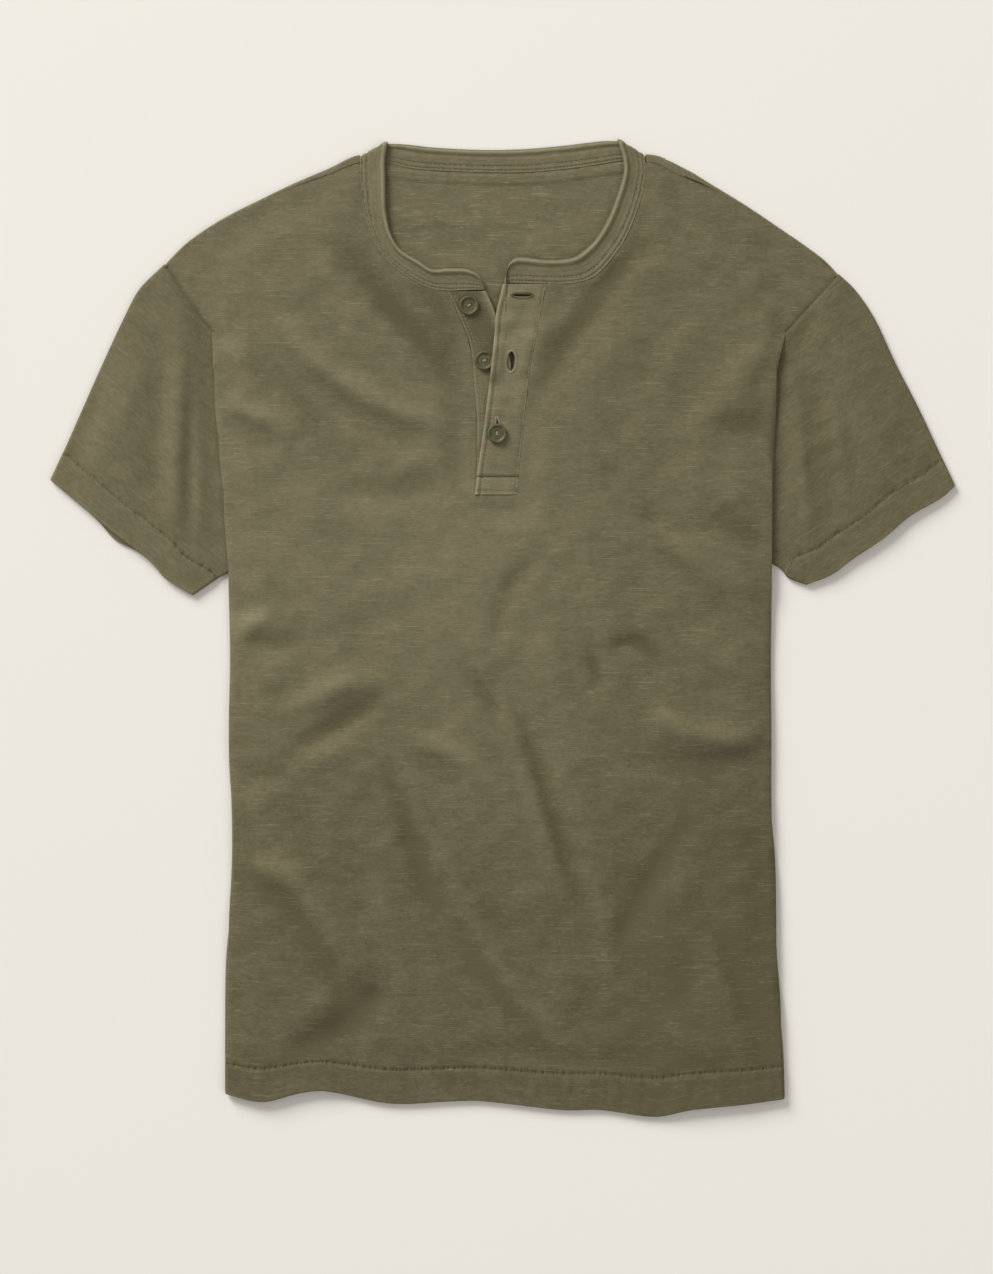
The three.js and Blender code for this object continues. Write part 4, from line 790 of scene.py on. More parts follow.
# %% Placket tables
UNDER_PLACKET = table("y left right", [
    (257.0, -42.4, -12.6), (241.4, -34.8, -5.9), (216.1, -24.9, 3.0), (193.9, -22.4, 7.0),
    (155.7, -19.6, 8.4), (115.0, -20.0, 6.0),
])
UPPER_PLACKET = table("y left right", [
    (262.4, 0.6, 33.3), (255.5, -1.0, 32.0), (239.9, -4.6, 29.0), (223.8, -5.9, 26.2),
    (189.3, -9.6, 20.0), (151.1, -14.2, 16.0), (120.5, -18.7, 12.6), (101.4, -21.0, 11.4),
])
SLOT_END_Y = 101.2
under_left = through(UNDER_PLACKET, "y", "left")
under_right = through(UNDER_PLACKET, "y", "right")
upper_left = through(UPPER_PLACKET, "y", "left")
upper_right = through(UPPER_PLACKET, "y", "right")

# %% [markdown]
# ## Front panel
# One piece of jersey from hem to shoulder. Its outline in the flat has the turned-up hem at the
# bottom, the strips that are folded under at the sides, the armholes, the shoulder seams, the
# neck and the placket slit. The cells are halved near the hem, the neck and the slit, where
# stitches pucker the cloth. The neck edge runs a little way under the neckband and drops there.

# %% Front panel outline
UNDER_BAND = 0.8
PANEL_CELL = 3.6
HEM_TURNED = 22


def seam_offset(line, offset):
    """A line of points moved sideways, to its left as it runs."""
    run = np.gradient(line, axis=0)
    run /= np.linalg.norm(run, axis=1)[:, None]
    return line + offset * np.stack([-run[:, 1], run[:, 0]], axis=1)


def seam_between(start, end, y_of, steps=24):
    """Points of a seam from one x to another."""
    return [(x, y_of(x)) for x in np.linspace(start, end, steps)]


def front_shoulder(x):
    return shoulder_y(x) - (SHOULDER_RADIUS + shoulder_roll(x)) * shoulder_slant(x) + 0.05


def front_outline():
    folded = np.linspace(TUCK_START_Y, HEM_LEVEL, 22)
    free = np.linspace(PINCH_Y, TUCK_START_Y, 4)
    bottom = HEM_LEVEL - HEM_TURNED
    sides = {}
    for side, edge in ((-1, side_left), (1, side_right)):
        strip = [(side_cut(y, side, 0, tuck_level, front_level), y) for y in folded]
        sides[side] = [(edge(y), y) for y in free] + strip + [(strip[-1][0], bottom)]
    left_shoulder = seam_between(SHOULDER_LEFT[0], LEFT_SEAM[-1][0] + 1, front_shoulder)
    right_shoulder = seam_between(RIGHT_SEAM[0][0] - 1, SHOULDER_RIGHT[0], front_shoulder)
    left_neck = seam_offset(LEFT_SEAM, -UNDER_BAND)
    left_neck = left_neck[left_neck[:, 0] < -45][::-1]
    right_neck = seam_offset(RIGHT_SEAM, -UNDER_BAND)
    right_neck = right_neck[right_neck[:, 0] > 34.5][::-1]
    slit_y = np.linspace(257.6, SLOT_END_Y, 14)
    slit_left = [(min(under_left(y) - 0.2, upper_left(y) - 0.1), y) for y in slit_y]
    slit_right = [(upper_right(y) + 0.03, y) for y in (*slit_y[::-1], 261.7)]
    return [
        *left_shoulder, *left_neck, *slit_left, *slit_right, *right_neck, *right_shoulder,
        *sides[1], *sides[-1][::-1],
    ]


# %% Front panel
ARMHOLE_LEFT = [(side_left(PINCH_Y), PINCH_Y), SHOULDER_LEFT]
ARMHOLE_RIGHT = [(side_right(PINCH_Y), PINCH_Y), SHOULDER_RIGHT]
SHOULDER_SEAM = seam_between(-258, 256, front_shoulder, 60)
PLACKET_EDGE = [(float(upper_right(y)), y) for y in np.linspace(262, SLOT_END_Y, 12)]
PLACKET_EDGE += [(float(upper_left(SLOT_END_Y)), SLOT_END_Y)]
PLACKET_RISE = 1.5


def pucker(along, seed, length=7.5):
    """Uneven small pulls along a row of stitches, from 0 to 1."""
    draw = np.random.default_rng(seed)
    total = sum(np.sin(2 * math.pi * along / (length * f) + draw.random() * 6.3)
                for f in (0.7, 1.0, 1.37, 1.9))
    return np.clip(total / 3 + 0.35, 0, 1)


def to_hem(t):
    return 1 - smooth((t - HEM_LEVEL) / HEM_BLEND)


def seam_dip(x, y, line, depth, width):
    return -depth * bell(distance_to(x, y, line)[0], 0, width)


def front_surface(x, y, t):
    """Level of the front with its hem, and with the dips at its seams."""
    z = front_level(x, y) + raise_hem(t)
    z += PLACKET_RISE * (1 - smooth(distance_to(x, y, PLACKET_EDGE)[0] / 16))
    stitched = bell(t, HEM_LEVEL + BODY_HEM, 1.6)
    z -= 0.9 * stitched * pucker(x, seed=11, length=4)
    pulled = bell(t, HEM_LEVEL + 0.55 * BODY_HEM, 9)
    z -= 0.45 * pulled * pucker(x, seed=12, length=13)
    for line in (LEFT_SEAM, RIGHT_SEAM):
        away, along = distance_to(x, y, line)
        z += 0.5 * (1 - smooth(away / 8)) - 0.5 * (1 - smooth(away / 1.8))
        z -= 0.30 * bell(away, 4, 3) * pucker(along * 150, seed=13)
    z += seam_dip(x, y, ARMHOLE_LEFT, 0.8, 1.8) + seam_dip(x, y, ARMHOLE_RIGHT, 0.8, 1.8)
    shows = smooth((shoulder_roll(x) - 0.3) / 2)
    return z + shows * seam_dip(x, y, SHOULDER_SEAM, 0.45, 1.2)


def place_front(s, t):
    turned, depth = turn_hem(t, HEM_LEVEL)
    y = turned + to_hem(turned) * (hem_y(s) - HEM_LEVEL)
    x, z = wrap_sides(s, y, depth, 0, tuck_level, lambda a, b: front_surface(a, b, turned),
                      PINCH_Y)
    return x, y, z


def front_wear_and_shading(s, t):
    """Lighter hem edge and darker seams; painted light and painted shade on the creases and across
    the front.
    """
    edge = bell(t, HEM_LEVEL, 1.6)
    armhole = bell(distance_to(s, t, ARMHOLE_LEFT)[0], 0, 1.5)
    armhole += bell(distance_to(s, t, ARMHOLE_RIGHT)[0], 0, 1.2)
    armhole += 0.9 * bell(distance_to(s, t, SHOULDER_SEAM)[0], 0.3, 1.1) * (
        smooth((shoulder_roll(s) - 0.6) / 1.2))
    # Painted light on the crease ridges and painted shade in their troughs, with the strips of
    # painted shading added.
    painted_shading = crease_height(s, t, CREASES, 9.0) + crease_height(s, t, PAINTED_SHADING_STRIPS, 12.0)
    creases = CREASE_PAINTED_SHADING * painted_shading
    above = t - HEM_LEVEL - BODY_HEM
    # Painted shade in the puckered groove of the hem stitches.
    stitched = bell(above, 0, 1.5) * (0.3 + pucker(s, seed=11, length=4))
    creases = creases * smooth(above / 40 + 0.15)
    # Painted light on the left of the chest, and painted shade to the right and towards the hem.
    tone_and_painted_shade = 0.09 * bell(t, 50, 90) * smooth((70 - s) / 90) - 0.11 * smooth((s - 10) / 110)
    tone_and_painted_shade = tone_and_painted_shade - 0.05 * smooth((-120 - t) / 80)
    return 0.25 * edge - 0.34 * np.clip(armhole, 0, 1) - 0.20 * stitched + creases + tone_and_painted_shade


def near_front_seams(x, y):
    hem = y < HEM_LEVEL + BODY_HEM + 7
    seams = [distance_to(x, y, line)[0] for line in
             (LEFT_SEAM, RIGHT_SEAM, ARMHOLE_LEFT, ARMHOLE_RIGHT, SHOULDER_SEAM, PLACKET_EDGE)]
    return (hem & (y > HEM_LEVEL - 4)) | (np.min(seams, axis=0) < 7)


# fade=0.19 gives the front painted shade towards the hem.
jersey_front = jersey("slub_jersey_front", (0.3, 0.9), fade=0.19)
outline = front_outline()
cloth, FRONT_CUT = cloth_for(outline, PANEL_CELL)
refine(cloth, near_front_seams)
refine(cloth, lambda x, y: np.abs(y - HEM_LEVEL - BODY_HEM) < 4)
cut_cloth(cloth, outline)
front = lay_cloth(cloth, "front_panel_cloth", place_front, jersey_front,
                  wear_and_painted_shading=front_wear_and_shading)
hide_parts("front_panel")

# %% [markdown]
# ## Back panel
# The back lies under the front and shows inside the neck, as a sliver over each shoulder and at
# the sides. It rolls over the shoulder line and meets the front at a seam that sits a little
# way down the front. Inside the neck a turned-down seam allowance lies below the band.

# %% Back panel
BACK_CELL = 5.0
BACK_SIDE = {"start": 9, "wide": 13, "wide_end": 192, "fade": 30, "beside": 2.4}
ROLL_RADIUS = SHOULDER_RADIUS - HALF
ALLOWANCE = 9.5
ABOVE_SEAM = 0.3


def back_inset(y):
    start = smooth((PINCH_Y - y) / BACK_SIDE["start"])
    past = smooth((BACK_SIDE["wide_end"] - y) / BACK_SIDE["fade"])
    edge = np.where(y > BACK_TUCK_START_Y, BACK_SIDE["beside"], PITCH)
    return start * (BACK_SIDE["wide"] * (1 - past) + edge)


def back_tuck_level(y):
    return tuck_level(y) + PITCH


def back_top(x):
    return shoulder_y(x) - SHOULDER_RADIUS * shoulder_slant(x)


def back_shoulder(x):
    """Where the back ends in the flat, once it has rolled over the shoulder line."""
    return back_top(x) + (math.pi * ROLL_RADIUS + shoulder_roll(x)) * shoulder_slant(x)


def back_outline():
    folded = np.linspace(BACK_TUCK_START_Y, HEM_LEVEL, 14)
    free = np.linspace(PINCH_Y, BACK_TUCK_START_Y, 14)
    bottom = HEM_LEVEL - HEM_TURNED
    sides = {}
    for side, edge in ((-1, side_left), (1, side_right)):
        strip = [(side_cut(y, side, PITCH, back_tuck_level, back_level), y) for y in folded]
        upper = [(edge(y) - side * back_inset(y), y) for y in free]
        sides[side] = upper + strip + [(strip[-1][0], bottom)]
    left = seam_between(SHOULDER_LEFT[0] - 2.4, BACK_SEAM[0][0] - 1.5, back_shoulder)
    right = seam_between(BACK_SEAM[-1][0] + 1.5, SHOULDER_RIGHT[0] + 2.4, back_shoulder)
    neck = seam_offset(BACK_SEAM, ABOVE_SEAM)
    return [*left, *neck, *right, *sides[1], *sides[-1][::-1]]


def back_surface(x, y):
    """Level of the back, with the seam allowance that lies inside the neck."""
    away = distance_to(x, y, BACK_SEAM)[0]
    z = back_level(x, y)
    inside = (np.abs(x) < 104) & (y > 200)
    flap = smooth((ALLOWANCE - away) / 1.5) * inside
    z = z + 0.75 * flap - 0.9 * bell(away, 0.6, 1.0) * inside
    slack = smooth((away - 12) / 30) * smooth((112 - from_neck_middle(x, y)) / 40)
    z = z + 0.6 * slack * np.clip(ripple(x, y * 1.8, seed=5), 0, 1.5)
    return np.maximum(z, back_level(x, y))


def place_back(s, t):
    turned, depth = turn_hem(t, HEM_LEVEL)
    y = turned + to_hem(turned) * (hem_y(s) - HEM_LEVEL)
    inset = np.where(y < PINCH_Y, back_inset(y), 0)
    x, z = wrap_sides(s, y, -depth, inset, back_tuck_level, back_surface,
                      BACK_TUCK_START_Y + 0.5)
    slope = shoulder_slope(s)
    slant = shoulder_slant(s)
    past = (y - back_top(s)) / slant
    rolls = past > 0
    angle = np.clip(past / ROLL_RADIUS, 0, math.pi)
    out = ROLL_RADIUS * np.sin(angle) - np.maximum(past - math.pi * ROLL_RADIUS, 0)
    shift = np.where(rolls, out - past, 0)
    x = x - slope / slant * shift
    y = y + shift / slant
    z = np.where(rolls, HALF + ROLL_RADIUS * (1 - np.cos(angle)), z)
    return x, y, z


jersey_back = jersey("slub_jersey_back", (2.2, 4.1), slub=0.48, tone_and_painted_shade=DYED - 0.02)
outline = back_outline()
cloth, BACK_CUT = cloth_for(outline, BACK_CELL)
refine(cloth, lambda x, y: (y > 240) & (np.abs(x) < 125))
refine(cloth, lambda x, y: y > back_top(x) - 8)
refine(cloth, lambda x, y: (y > back_top(x) - 3) & (np.abs(x) > 100))
refine(cloth, lambda x, y: distance_to(x, y, BACK_SEAM)[0] < 13)
cut_cloth(cloth, outline)
back = lay_cloth(cloth, "back_panel_cloth", place_back, jersey_back)
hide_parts("back_panel")

# %% [markdown]
# ## Sleeves
# A sleeve is a tube. Laid flat it has an upper and a lower layer with a fold along each edge,
# and its first stretch runs under the body. A flat grid is rolled into the tube: across the
# grid runs the way round the arm, and along it the way from armhole to cuff. The cuff is
# turned up inside like the hem.

# %% Sleeve tables
LEFT_SLEEVE = {
    "side": -1, "shoulder": SHOULDER_LEFT,
    "edge": [(-277.3, 258.2), (-289.6, 235.2), (-305.6, 200.8), (-320.9, 166.4),
             (-336.2, 132.0), (-345.2, 112.6)],
    "cuff": [(-327.0, 97.5), (-299.5, 74.4), (-271.2, 52.6), (-258.5, 38.6), (-245.2, 29.6),
             (-237.5, 25.4)],
    "lower": [(-222.0, 35.8), (-210.0, 42.5), (-164.1, 66.9)],
    "hidden": [(-189.3, 158.7), (-173.0, 108.0)],
}
RIGHT_SLEEVE = {
    "side": 1, "shoulder": SHOULDER_RIGHT,
    "edge": [(269.7, 257.0), (284.2, 235.2), (300.3, 200.8), (317.9, 166.4), (333.9, 132.0),
             (345.2, 107.5)],
    "cuff": [(333.9, 98.0), (311.7, 85.3), (291.0, 68.0), (268.0, 52.6), (252.1, 40.8),
             (232.6, 33.0)],
    "lower": [(219.0, 38.6), (208.5, 48.0), (161.0, 66.9)],
    "hidden": [(184.5, 158.7), (169.0, 108.0)],
}
LEFT_CREASES = table("x1 y1 x2 y2 x3 y3 half height", [
    (-286, 236, -304, 170, -314, 96, 13, 2.4), (-262, 236, -268, 160, -268, 74, 11, -1.8),
    (-248, 214, -250, 140, -252, 60, 8, 1.6), (-236, 200, -238, 130, -238, 50, 6, -1.5),
    (-300, 196, -322, 156, -336, 118, 8, -1.1), (-230, 170, -231, 120, -232, 60, 6, 1.2),
    (-270, 200, -288, 170, -296, 140, 7, 0.9), (-248, 260, -236, 242, -228, 206, 7, -6.5),
    (-238, 226, -230, 196, -225, 150, 8, -3.0),
])
RIGHT_CREASES = table("x1 y1 x2 y2 x3 y3 half height", [
    (244, 244, 268, 176, 290, 96, 16, 1.8), (262, 240, 292, 188, 322, 110, 11, -1.2),
    (230, 206, 240, 140, 252, 60, 10, -1.3), (284, 226, 300, 190, 316, 160, 8, 1.0),
    (222, 180, 228, 120, 236, 56, 7, 1.3), (246, 196, 256, 150, 262, 110, 7, 0.9),
    (250, 262, 240, 252, 228, 236, 5, 1.2), (236, 232, 226, 222, 220, 196, 6, -2.2),
])

# %% Sleeve shape
PINCH_AT = 0.27
ABUT_AT = 0.37
ABUT_END_Y = 203
ROUND_STEPS = 5
TOP_STEPS = 96
SLEEVE_STEPS = 140
CUFF_STEP = 0.4
CUFF_TURNED = 20
PEEK_AT = 0.36


def sleeve_root(sleeve, v):
    """The sleeve's start: the armhole seam, a stretch beside the body, then a hidden one."""
    edge_of = side_left if sleeve["side"] < 0 else side_right
    gap = sleeve["side"] * 0.1
    shoulder = np.array(sleeve["shoulder"])
    pinch = np.array((edge_of(PINCH_Y), PINCH_Y))
    seam = lerp(shoulder, pinch, np.clip(v / PINCH_AT, 0, 1)[:, None])
    y = lerp(PINCH_Y, ABUT_END_Y, (v - PINCH_AT) / (ABUT_AT - PINCH_AT))
    beside = np.stack([edge_of(y), y], axis=-1)
    seam = np.where((v <= PINCH_AT)[:, None], seam, beside) + (gap, 0)
    start = (edge_of(ABUT_END_Y) + gap, ABUT_END_Y)
    hidden = path_through([start, *sleeve["hidden"], sleeve["lower"][-1]])
    return np.where((v <= ABUT_AT)[:, None], seam,
                    hidden(np.clip((v - ABUT_AT) / (1 - ABUT_AT), 0, 1)))


def sleeve_point(sleeve, u, v):
    """A point of the sleeve's plan: a patch between its root, cuff, upper and lower edges."""
    corner, tip = np.array(sleeve["edge"][-1]), np.array(sleeve["cuff"][-1])
    under = np.array(sleeve["lower"][-1])
    start = sleeve_root(sleeve, np.zeros(1))[0]
    root = sleeve_root(sleeve, v)
    cuff = path_through([corner, *sleeve["cuff"]])(v)
    upper = path_through([start, *sleeve["edge"]])(u)
    lower = path_through([under, *sleeve["lower"][-2::-1], tip])(u)
    u, v = u[:, None], v[:, None]
    patch = root * (1 - u) + cuff * u + upper * (1 - v) + lower * v
    patch -= start * (1 - u) * (1 - v) + corner * u * (1 - v)
    return patch - under * (1 - u) * v - tip * u * v


def sleeve_level(sleeve, creases, x, y, u, v):
    """Underside of the sleeve's upper layer, lower where it runs under the body."""
    edge_of = side_left if sleeve["side"] < 0 else side_right
    outside = sleeve["side"] * (x - edge_of(np.minimum(y, PINCH_Y)))
    below = smooth((PINCH_Y - y) / 20)
    clear = smooth((outside - 2) / 14)
    lift = NECK_LIFT * (1 - below * (1 - clear))
    full = smooth((outside - 5) / 22) * np.sin(math.pi * np.clip(v, 0, 1)) ** 1.2
    full = full * smooth(u / 0.12)
    moved = 2.2 + 1.6 * crease_height(x, y, creases, 3.0) + 0.3 * ripple(x, y, seed=7)
    return PITCH + lift + full * lerp(1, 0.62, smooth((u - 0.7) / 0.25)) * moved


def make_sleeve(name, node, sleeve, creases, shift, peek, tone_and_painted_shade):
    """A sleeve, rolled from a flat grid. peek is how far the lower layer shows at the cuff."""
    count = 2 * (TOP_STEPS + ROUND_STEPS)
    length = math.dist(sleeve["shoulder"], sleeve["edge"][-1])
    girth = 2 * math.dist(sleeve["edge"][-1], sleeve["cuff"][-1])
    turned_in = CUFF_TURNED / length
    corner = sleeve["edge"][-1]
    cuff_line = path_through([corner, *sleeve["cuff"]])(np.linspace(0, 1, 60))
    bm = flat_cloth(0, count, 0, SLEEVE_STEPS, 1)

    def place(q, row):
        along = row / SLEEVE_STEPS * (1 + turned_in)
        u, depth = turn_hem(1 - along, 0, HEM_RADIUS / length)
        u, depth = 1 - u, depth * length
        v_top = np.clip(q / TOP_STEPS, 0, 1)
        v_low = 1 - np.clip((q - TOP_STEPS - ROUND_STEPS) / TOP_STEPS, 0, 1)
        first_turn = np.clip((q - TOP_STEPS) / ROUND_STEPS, 0, 1)
        last_turn = np.clip((q - 2 * TOP_STEPS - ROUND_STEPS) / ROUND_STEPS, 0, 1)
        upper = (q <= TOP_STEPS + ROUND_STEPS / 2) | (last_turn >= 1)
        v = np.where(q <= TOP_STEPS, v_top, np.where(first_turn < 1, 1, v_low))
        v = np.where(last_turn > 0, 0, v)
        ends = {}
        for at in (0.0, 1.0):
            p = sleeve_point(sleeve, u, np.full(len(u), at))
            nearby = sleeve_point(sleeve, u, np.full(len(u), abs(at - 0.06)))
            out = p - nearby
            out /= np.linalg.norm(out, axis=1)[:, None]
            level = sleeve_level(sleeve, creases, p[:, 0], p[:, 1], u, np.full(len(u), at))
            ends[at] = (p, out, level)
        span = np.linalg.norm(ends[0.0][0] - ends[1.0][0], axis=1)
        shift_v = (1 - v) * ends[0.0][2] / 2 / span - v * ends[1.0][2] / 2 / span
        p = sleeve_point(sleeve, u, v + shift_v)
        high = sleeve_level(sleeve, creases, p[:, 0], p[:, 1], u, v) + HALF
        from_cuff = distance_to(p[:, 0], p[:, 1], cuff_line)[0]
        step = CUFF_STEP * smooth((CUFF_HEM - from_cuff) / 3 + 0.3) * (u > 0.5)
        groove = bell(from_cuff, CUFF_HEM, 1.5) * (u > 0.5)
        round_way = v * girth / 2
        top = high + step - groove * (0.15 + pucker(round_way, seed=21)) * (v < 0.999)
        top -= bell(u * length, 0, 1.8) * (v < PINCH_AT)
        z = np.where(upper, top + depth, HALF - depth)
        x, y = p[:, 0], p[:, 1]
        peeking = peek * bell(v, PEEK_AT, 0.06) * smooth((u - 0.9) / 0.1)
        lowers = (~upper) & (first_turn >= 1) & (last_turn <= 0)
        toward = sleeve_point(sleeve, np.ones(len(u)), v) - sleeve_point(
            sleeve, np.full(len(u), 0.9), v)
        toward /= np.linalg.norm(toward, axis=1)[:, None]
        x = x + np.where(lowers, toward[:, 0] * peeking, 0)
        y = y + np.where(lowers, toward[:, 1] * peeking, 0)
        for turn, at, from_top in ((first_turn, 1.0, True), (last_turn, 0.0, False)):
            turning = (turn > 0) & (turn < 1)
            out = ends[at][1]
            high_end = ends[at][2] + HALF + step
            radius = (high_end - HALF) / 2
            angle = math.pi * turn if from_top else math.pi * (1 - turn)
            reach = (radius + depth) * np.sin(angle)
            x = np.where(turning, p[:, 0] + out[:, 0] * reach, x)
            y = np.where(turning, p[:, 1] + out[:, 1] * reach, y)
            z = np.where(turning, HALF + radius + (radius + depth) * np.cos(angle), z)
        return x, y, z

    cuff_way = np.subtract(sleeve["cuff"][-1], sleeve["edge"][-1])
    cuff_way = cuff_way / np.linalg.norm(cuff_way)

    def cut(q, row):
        x, y, _ = place(q, row)
        return x * cuff_way[0] + y * cuff_way[1], y * cuff_way[0] - x * cuff_way[1]

    def wear_and_painted_shading(q, row):
        x, y, _ = place(q, row)
        away = distance_to(x, y, cuff_line)[0]
        armhole = bell(row / SLEEVE_STEPS * length, 0, 1.2) * (q < PINCH_AT * TOP_STEPS)
        # Painted light on the sleeve's crease ridges and painted shade in their troughs.
        crease_painted_shading = CREASE_PAINTED_SHADING * crease_height(x, y, creases, 8.0) * (q < TOP_STEPS)
        # Painted shade in the puckered groove of the cuff stitches.
        sewn = bell(away, CUFF_HEM, 1.3) * (0.3 + pucker(q, seed=22, length=3))
        hem = 0.04 * (away < CUFF_HEM) + 0.16 * bell(away, 0, 2) - 0.26 * sewn
        return hem - 0.36 * armhole + crease_painted_shading * smooth(away / 30)

    material = jersey("slub_jersey_" + node, shift, slub=0.2, tone_and_painted_shade=tone_and_painted_shade)
    piece = lay_cloth(bm, name, place, material, cut=cut, wear_and_painted_shading=wear_and_painted_shading)
    weld(piece.data, 0.02)
    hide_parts(node)
    print(name, "round", girth, "long", length)
    tries = np.linspace(0.55, 1, 160)

    def on_hem(way):
        v = way / (girth / 2)
        u = []
        for at in v:
            x, y = sleeve_point(sleeve, tries, np.full(len(tries), at)).T
            u.append(tries[np.argmax(distance_to(x, y, cuff_line)[0] < CUFF_HEM)])
        return place(v * TOP_STEPS, np.array(u) / (1 + turned_in) * SLEEVE_STEPS)

    return piece, (girth, length + CUFF_TURNED), on_hem


# %% Sleeves
# The last value is each sleeve's tone. The right sleeve's, 0.15 below the left's, is painted
# shade: it lies turned away from the light.
sleeve_left, SLEEVE_LEFT_CUT, on_left_cuff = make_sleeve(
    "sleeve_left_cloth", "sleeve_left", LEFT_SLEEVE, LEFT_CREASES, (5.3, 1.2), 3.5,
    DYED - 0.04)
sleeve_right, SLEEVE_RIGHT_CUT, on_right_cuff = make_sleeve(
    "sleeve_right_cloth", "sleeve_right", RIGHT_SLEEVE, RIGHT_CREASES, (7.9, 3.4), 0,
    DYED - 0.19)

# %% [markdown]
# ## Neckband
# The band is folded double and topstitched twice beside its seam, which presses two grooves in
# it. Near its free edge it rolls into a soft round ridge. One section, with those forms, is
# swept along the stations: a grid is laid so that its first side runs along the neck and its
# second round the section, and the doubles at the seam are merged.

# %% Neckband
BAND_WIDTH = 20
BAND_THICKNESS = 1.8
BAND_RADIUS = (PITCH + NECK_LIFT + BAND_THICKNESS) / 2
BAND_STITCHES = (0.08, 0.27)
BAND_GROOVE = 0.68
BAND_ROLL = 0.87
FREE_LIFT = 1.5
SECTION_STEPS = 88


def band_height(t, outer):
    """Height of the band's outer or inner face above its own middle, across its width."""
    h = BAND_THICKNESS / 2 * np.ones(np.shape(t))
    for stitch in BAND_STITCHES:
        h -= (0.50 if outer else 0.45) * bell(t, stitch, 0.035)
    h -= 0.42 * bell(t, BAND_GROOVE, 0.07)
    h += 0.45 * bell(t, BAND_ROLL, 0.07)
    return h


def band_edge(t):
    """Rounds the band off at its sewn edge and at its rolled free edge."""
    free = np.sqrt(np.clip(1 - np.maximum(0, (t - 0.93) / 0.07) ** 2, 0, 1))
    return free * np.sqrt(np.clip(1 - np.maximum(0, (0.03 - t) / 0.03) ** 2, 0, 1))


BAND_LENGTHS = {part: length_of(seam_of(part, 200)) for part in BAND_PARTS}
TURN_LENGTH = 5.0
BAND_ORDER = ("front_left", "turn_left", "back", "turn_right", "front_right")
BAND_TOTAL = sum(BAND_LENGTHS.values()) + 2 * TURN_LENGTH


def band_point(along, across, lift):
    """A point of the band: along it in millimetres, across it from 0 to 1, lift off its middle."""
    sizes = [BAND_LENGTHS.get(part, TURN_LENGTH) for part in BAND_ORDER]
    starts = np.concatenate([[0], np.cumsum(sizes)])
    x, y, z = (np.zeros(len(along)) for _ in range(3))
    for part, start, size in zip(BAND_ORDER, starts, sizes):
        picked = (along >= start) & (along <= start + size)
        local = np.clip((along[picked] - start) / size, 0, 1)
        if part == "turn_left":
            turn, local, part = local, np.ones(len(local)), "front_left"
        elif part == "turn_right":
            turn, local, part = 1 - local, np.zeros(len(local)), "front_right"
        else:
            turn = np.full(len(local), 1.0 if part == "back" else 0.0)
        sewn, free = (band_edge_of(part, edge)(local) for edge in ("sewn", "free"))
        run = free - sewn
        run /= np.linalg.norm(run, axis=1)[:, None]
        away = np.stack([-run[:, 1], run[:, 0]], axis=1)
        away *= np.where(away[:, 1:] < 0, -1, 1)
        depth = BAND_RADIUS - BAND_THICKNESS / 2 + lift[picked]
        spot = lerp(sewn, free, across[picked][:, None])
        spot = spot + away * (depth * np.sin(math.pi * turn))[:, None]
        x[picked], y[picked] = spot.T
        curl = FREE_LIFT * smooth((across[picked] - 0.45) / 0.45) * (1 - turn)
        z[picked] = BAND_RADIUS + depth * np.cos(math.pi * turn) + curl
    return x, y, np.maximum(z, 0.02)


def band_section(q):
    """Across the band from 0 to 1 and the height off its middle, for a way q round it."""
    outer = q <= SECTION_STEPS / 2
    t = np.where(outer, q / (SECTION_STEPS / 2), 2 - q / (SECTION_STEPS / 2))
    t = 0.5 - 0.5 * np.cos(math.pi * t) * (0.82 + 0.18 * np.abs(np.cos(math.pi * t)))
    return t, outer


def band_end(along):
    """1 on the soft roll at the two ends of the band, which runs on down the plackets."""
    return bell(np.minimum(along, BAND_TOTAL - along), 1.3, 1.4)


def place_band(along, q):
    t, outer = band_section(q)
    lift = np.where(outer, band_height(t, True), -band_height(t, False))
    pulls = pucker(along, seed=31, length=5.5) * (
        bell(t, BAND_STITCHES[0], 0.06) + bell(t, BAND_STITCHES[1], 0.06))
    waver = 0.16 * np.sin(along / 9.0) * bell(t, BAND_ROLL, 0.12)
    lift = lift + np.where(outer, waver - 0.35 * pulls, 0.3 * pulls)
    end = band_end(along) * bell(t, 0.5, 0.45)
    return band_point(along, t, (lift + np.where(outer, 0.5, -0.3) * end) * band_edge(t))


def cut_band(along, q):
    return along, q / SECTION_STEPS * 2 * BAND_WIDTH


def band_wear_and_shading(along, q):
    t, outer = band_section(q)
    ridge = bell(t, BAND_ROLL + 0.02, 0.06) + 0.5 * bell(t, 0.02, 0.03)
    wear_and_shade = 0.8 + 0.2 * np.sin(along / 6.1) * np.sin(along / 2.3)
    # Painted shade in the two stitch grooves, on the low side of the rolled ridge and under its
    # free edge.
    sewn = sum(bell(t, stitch, 0.03) for stitch in BAND_STITCHES)
    inside = bell(t, 0.755, 0.035) + bell(t, 0.99, 0.02)
    return 0.05 + (0.8 * ridge + 0.5 * band_end(along)) * wear_and_shade - 0.17 * sewn - 0.2 * inside


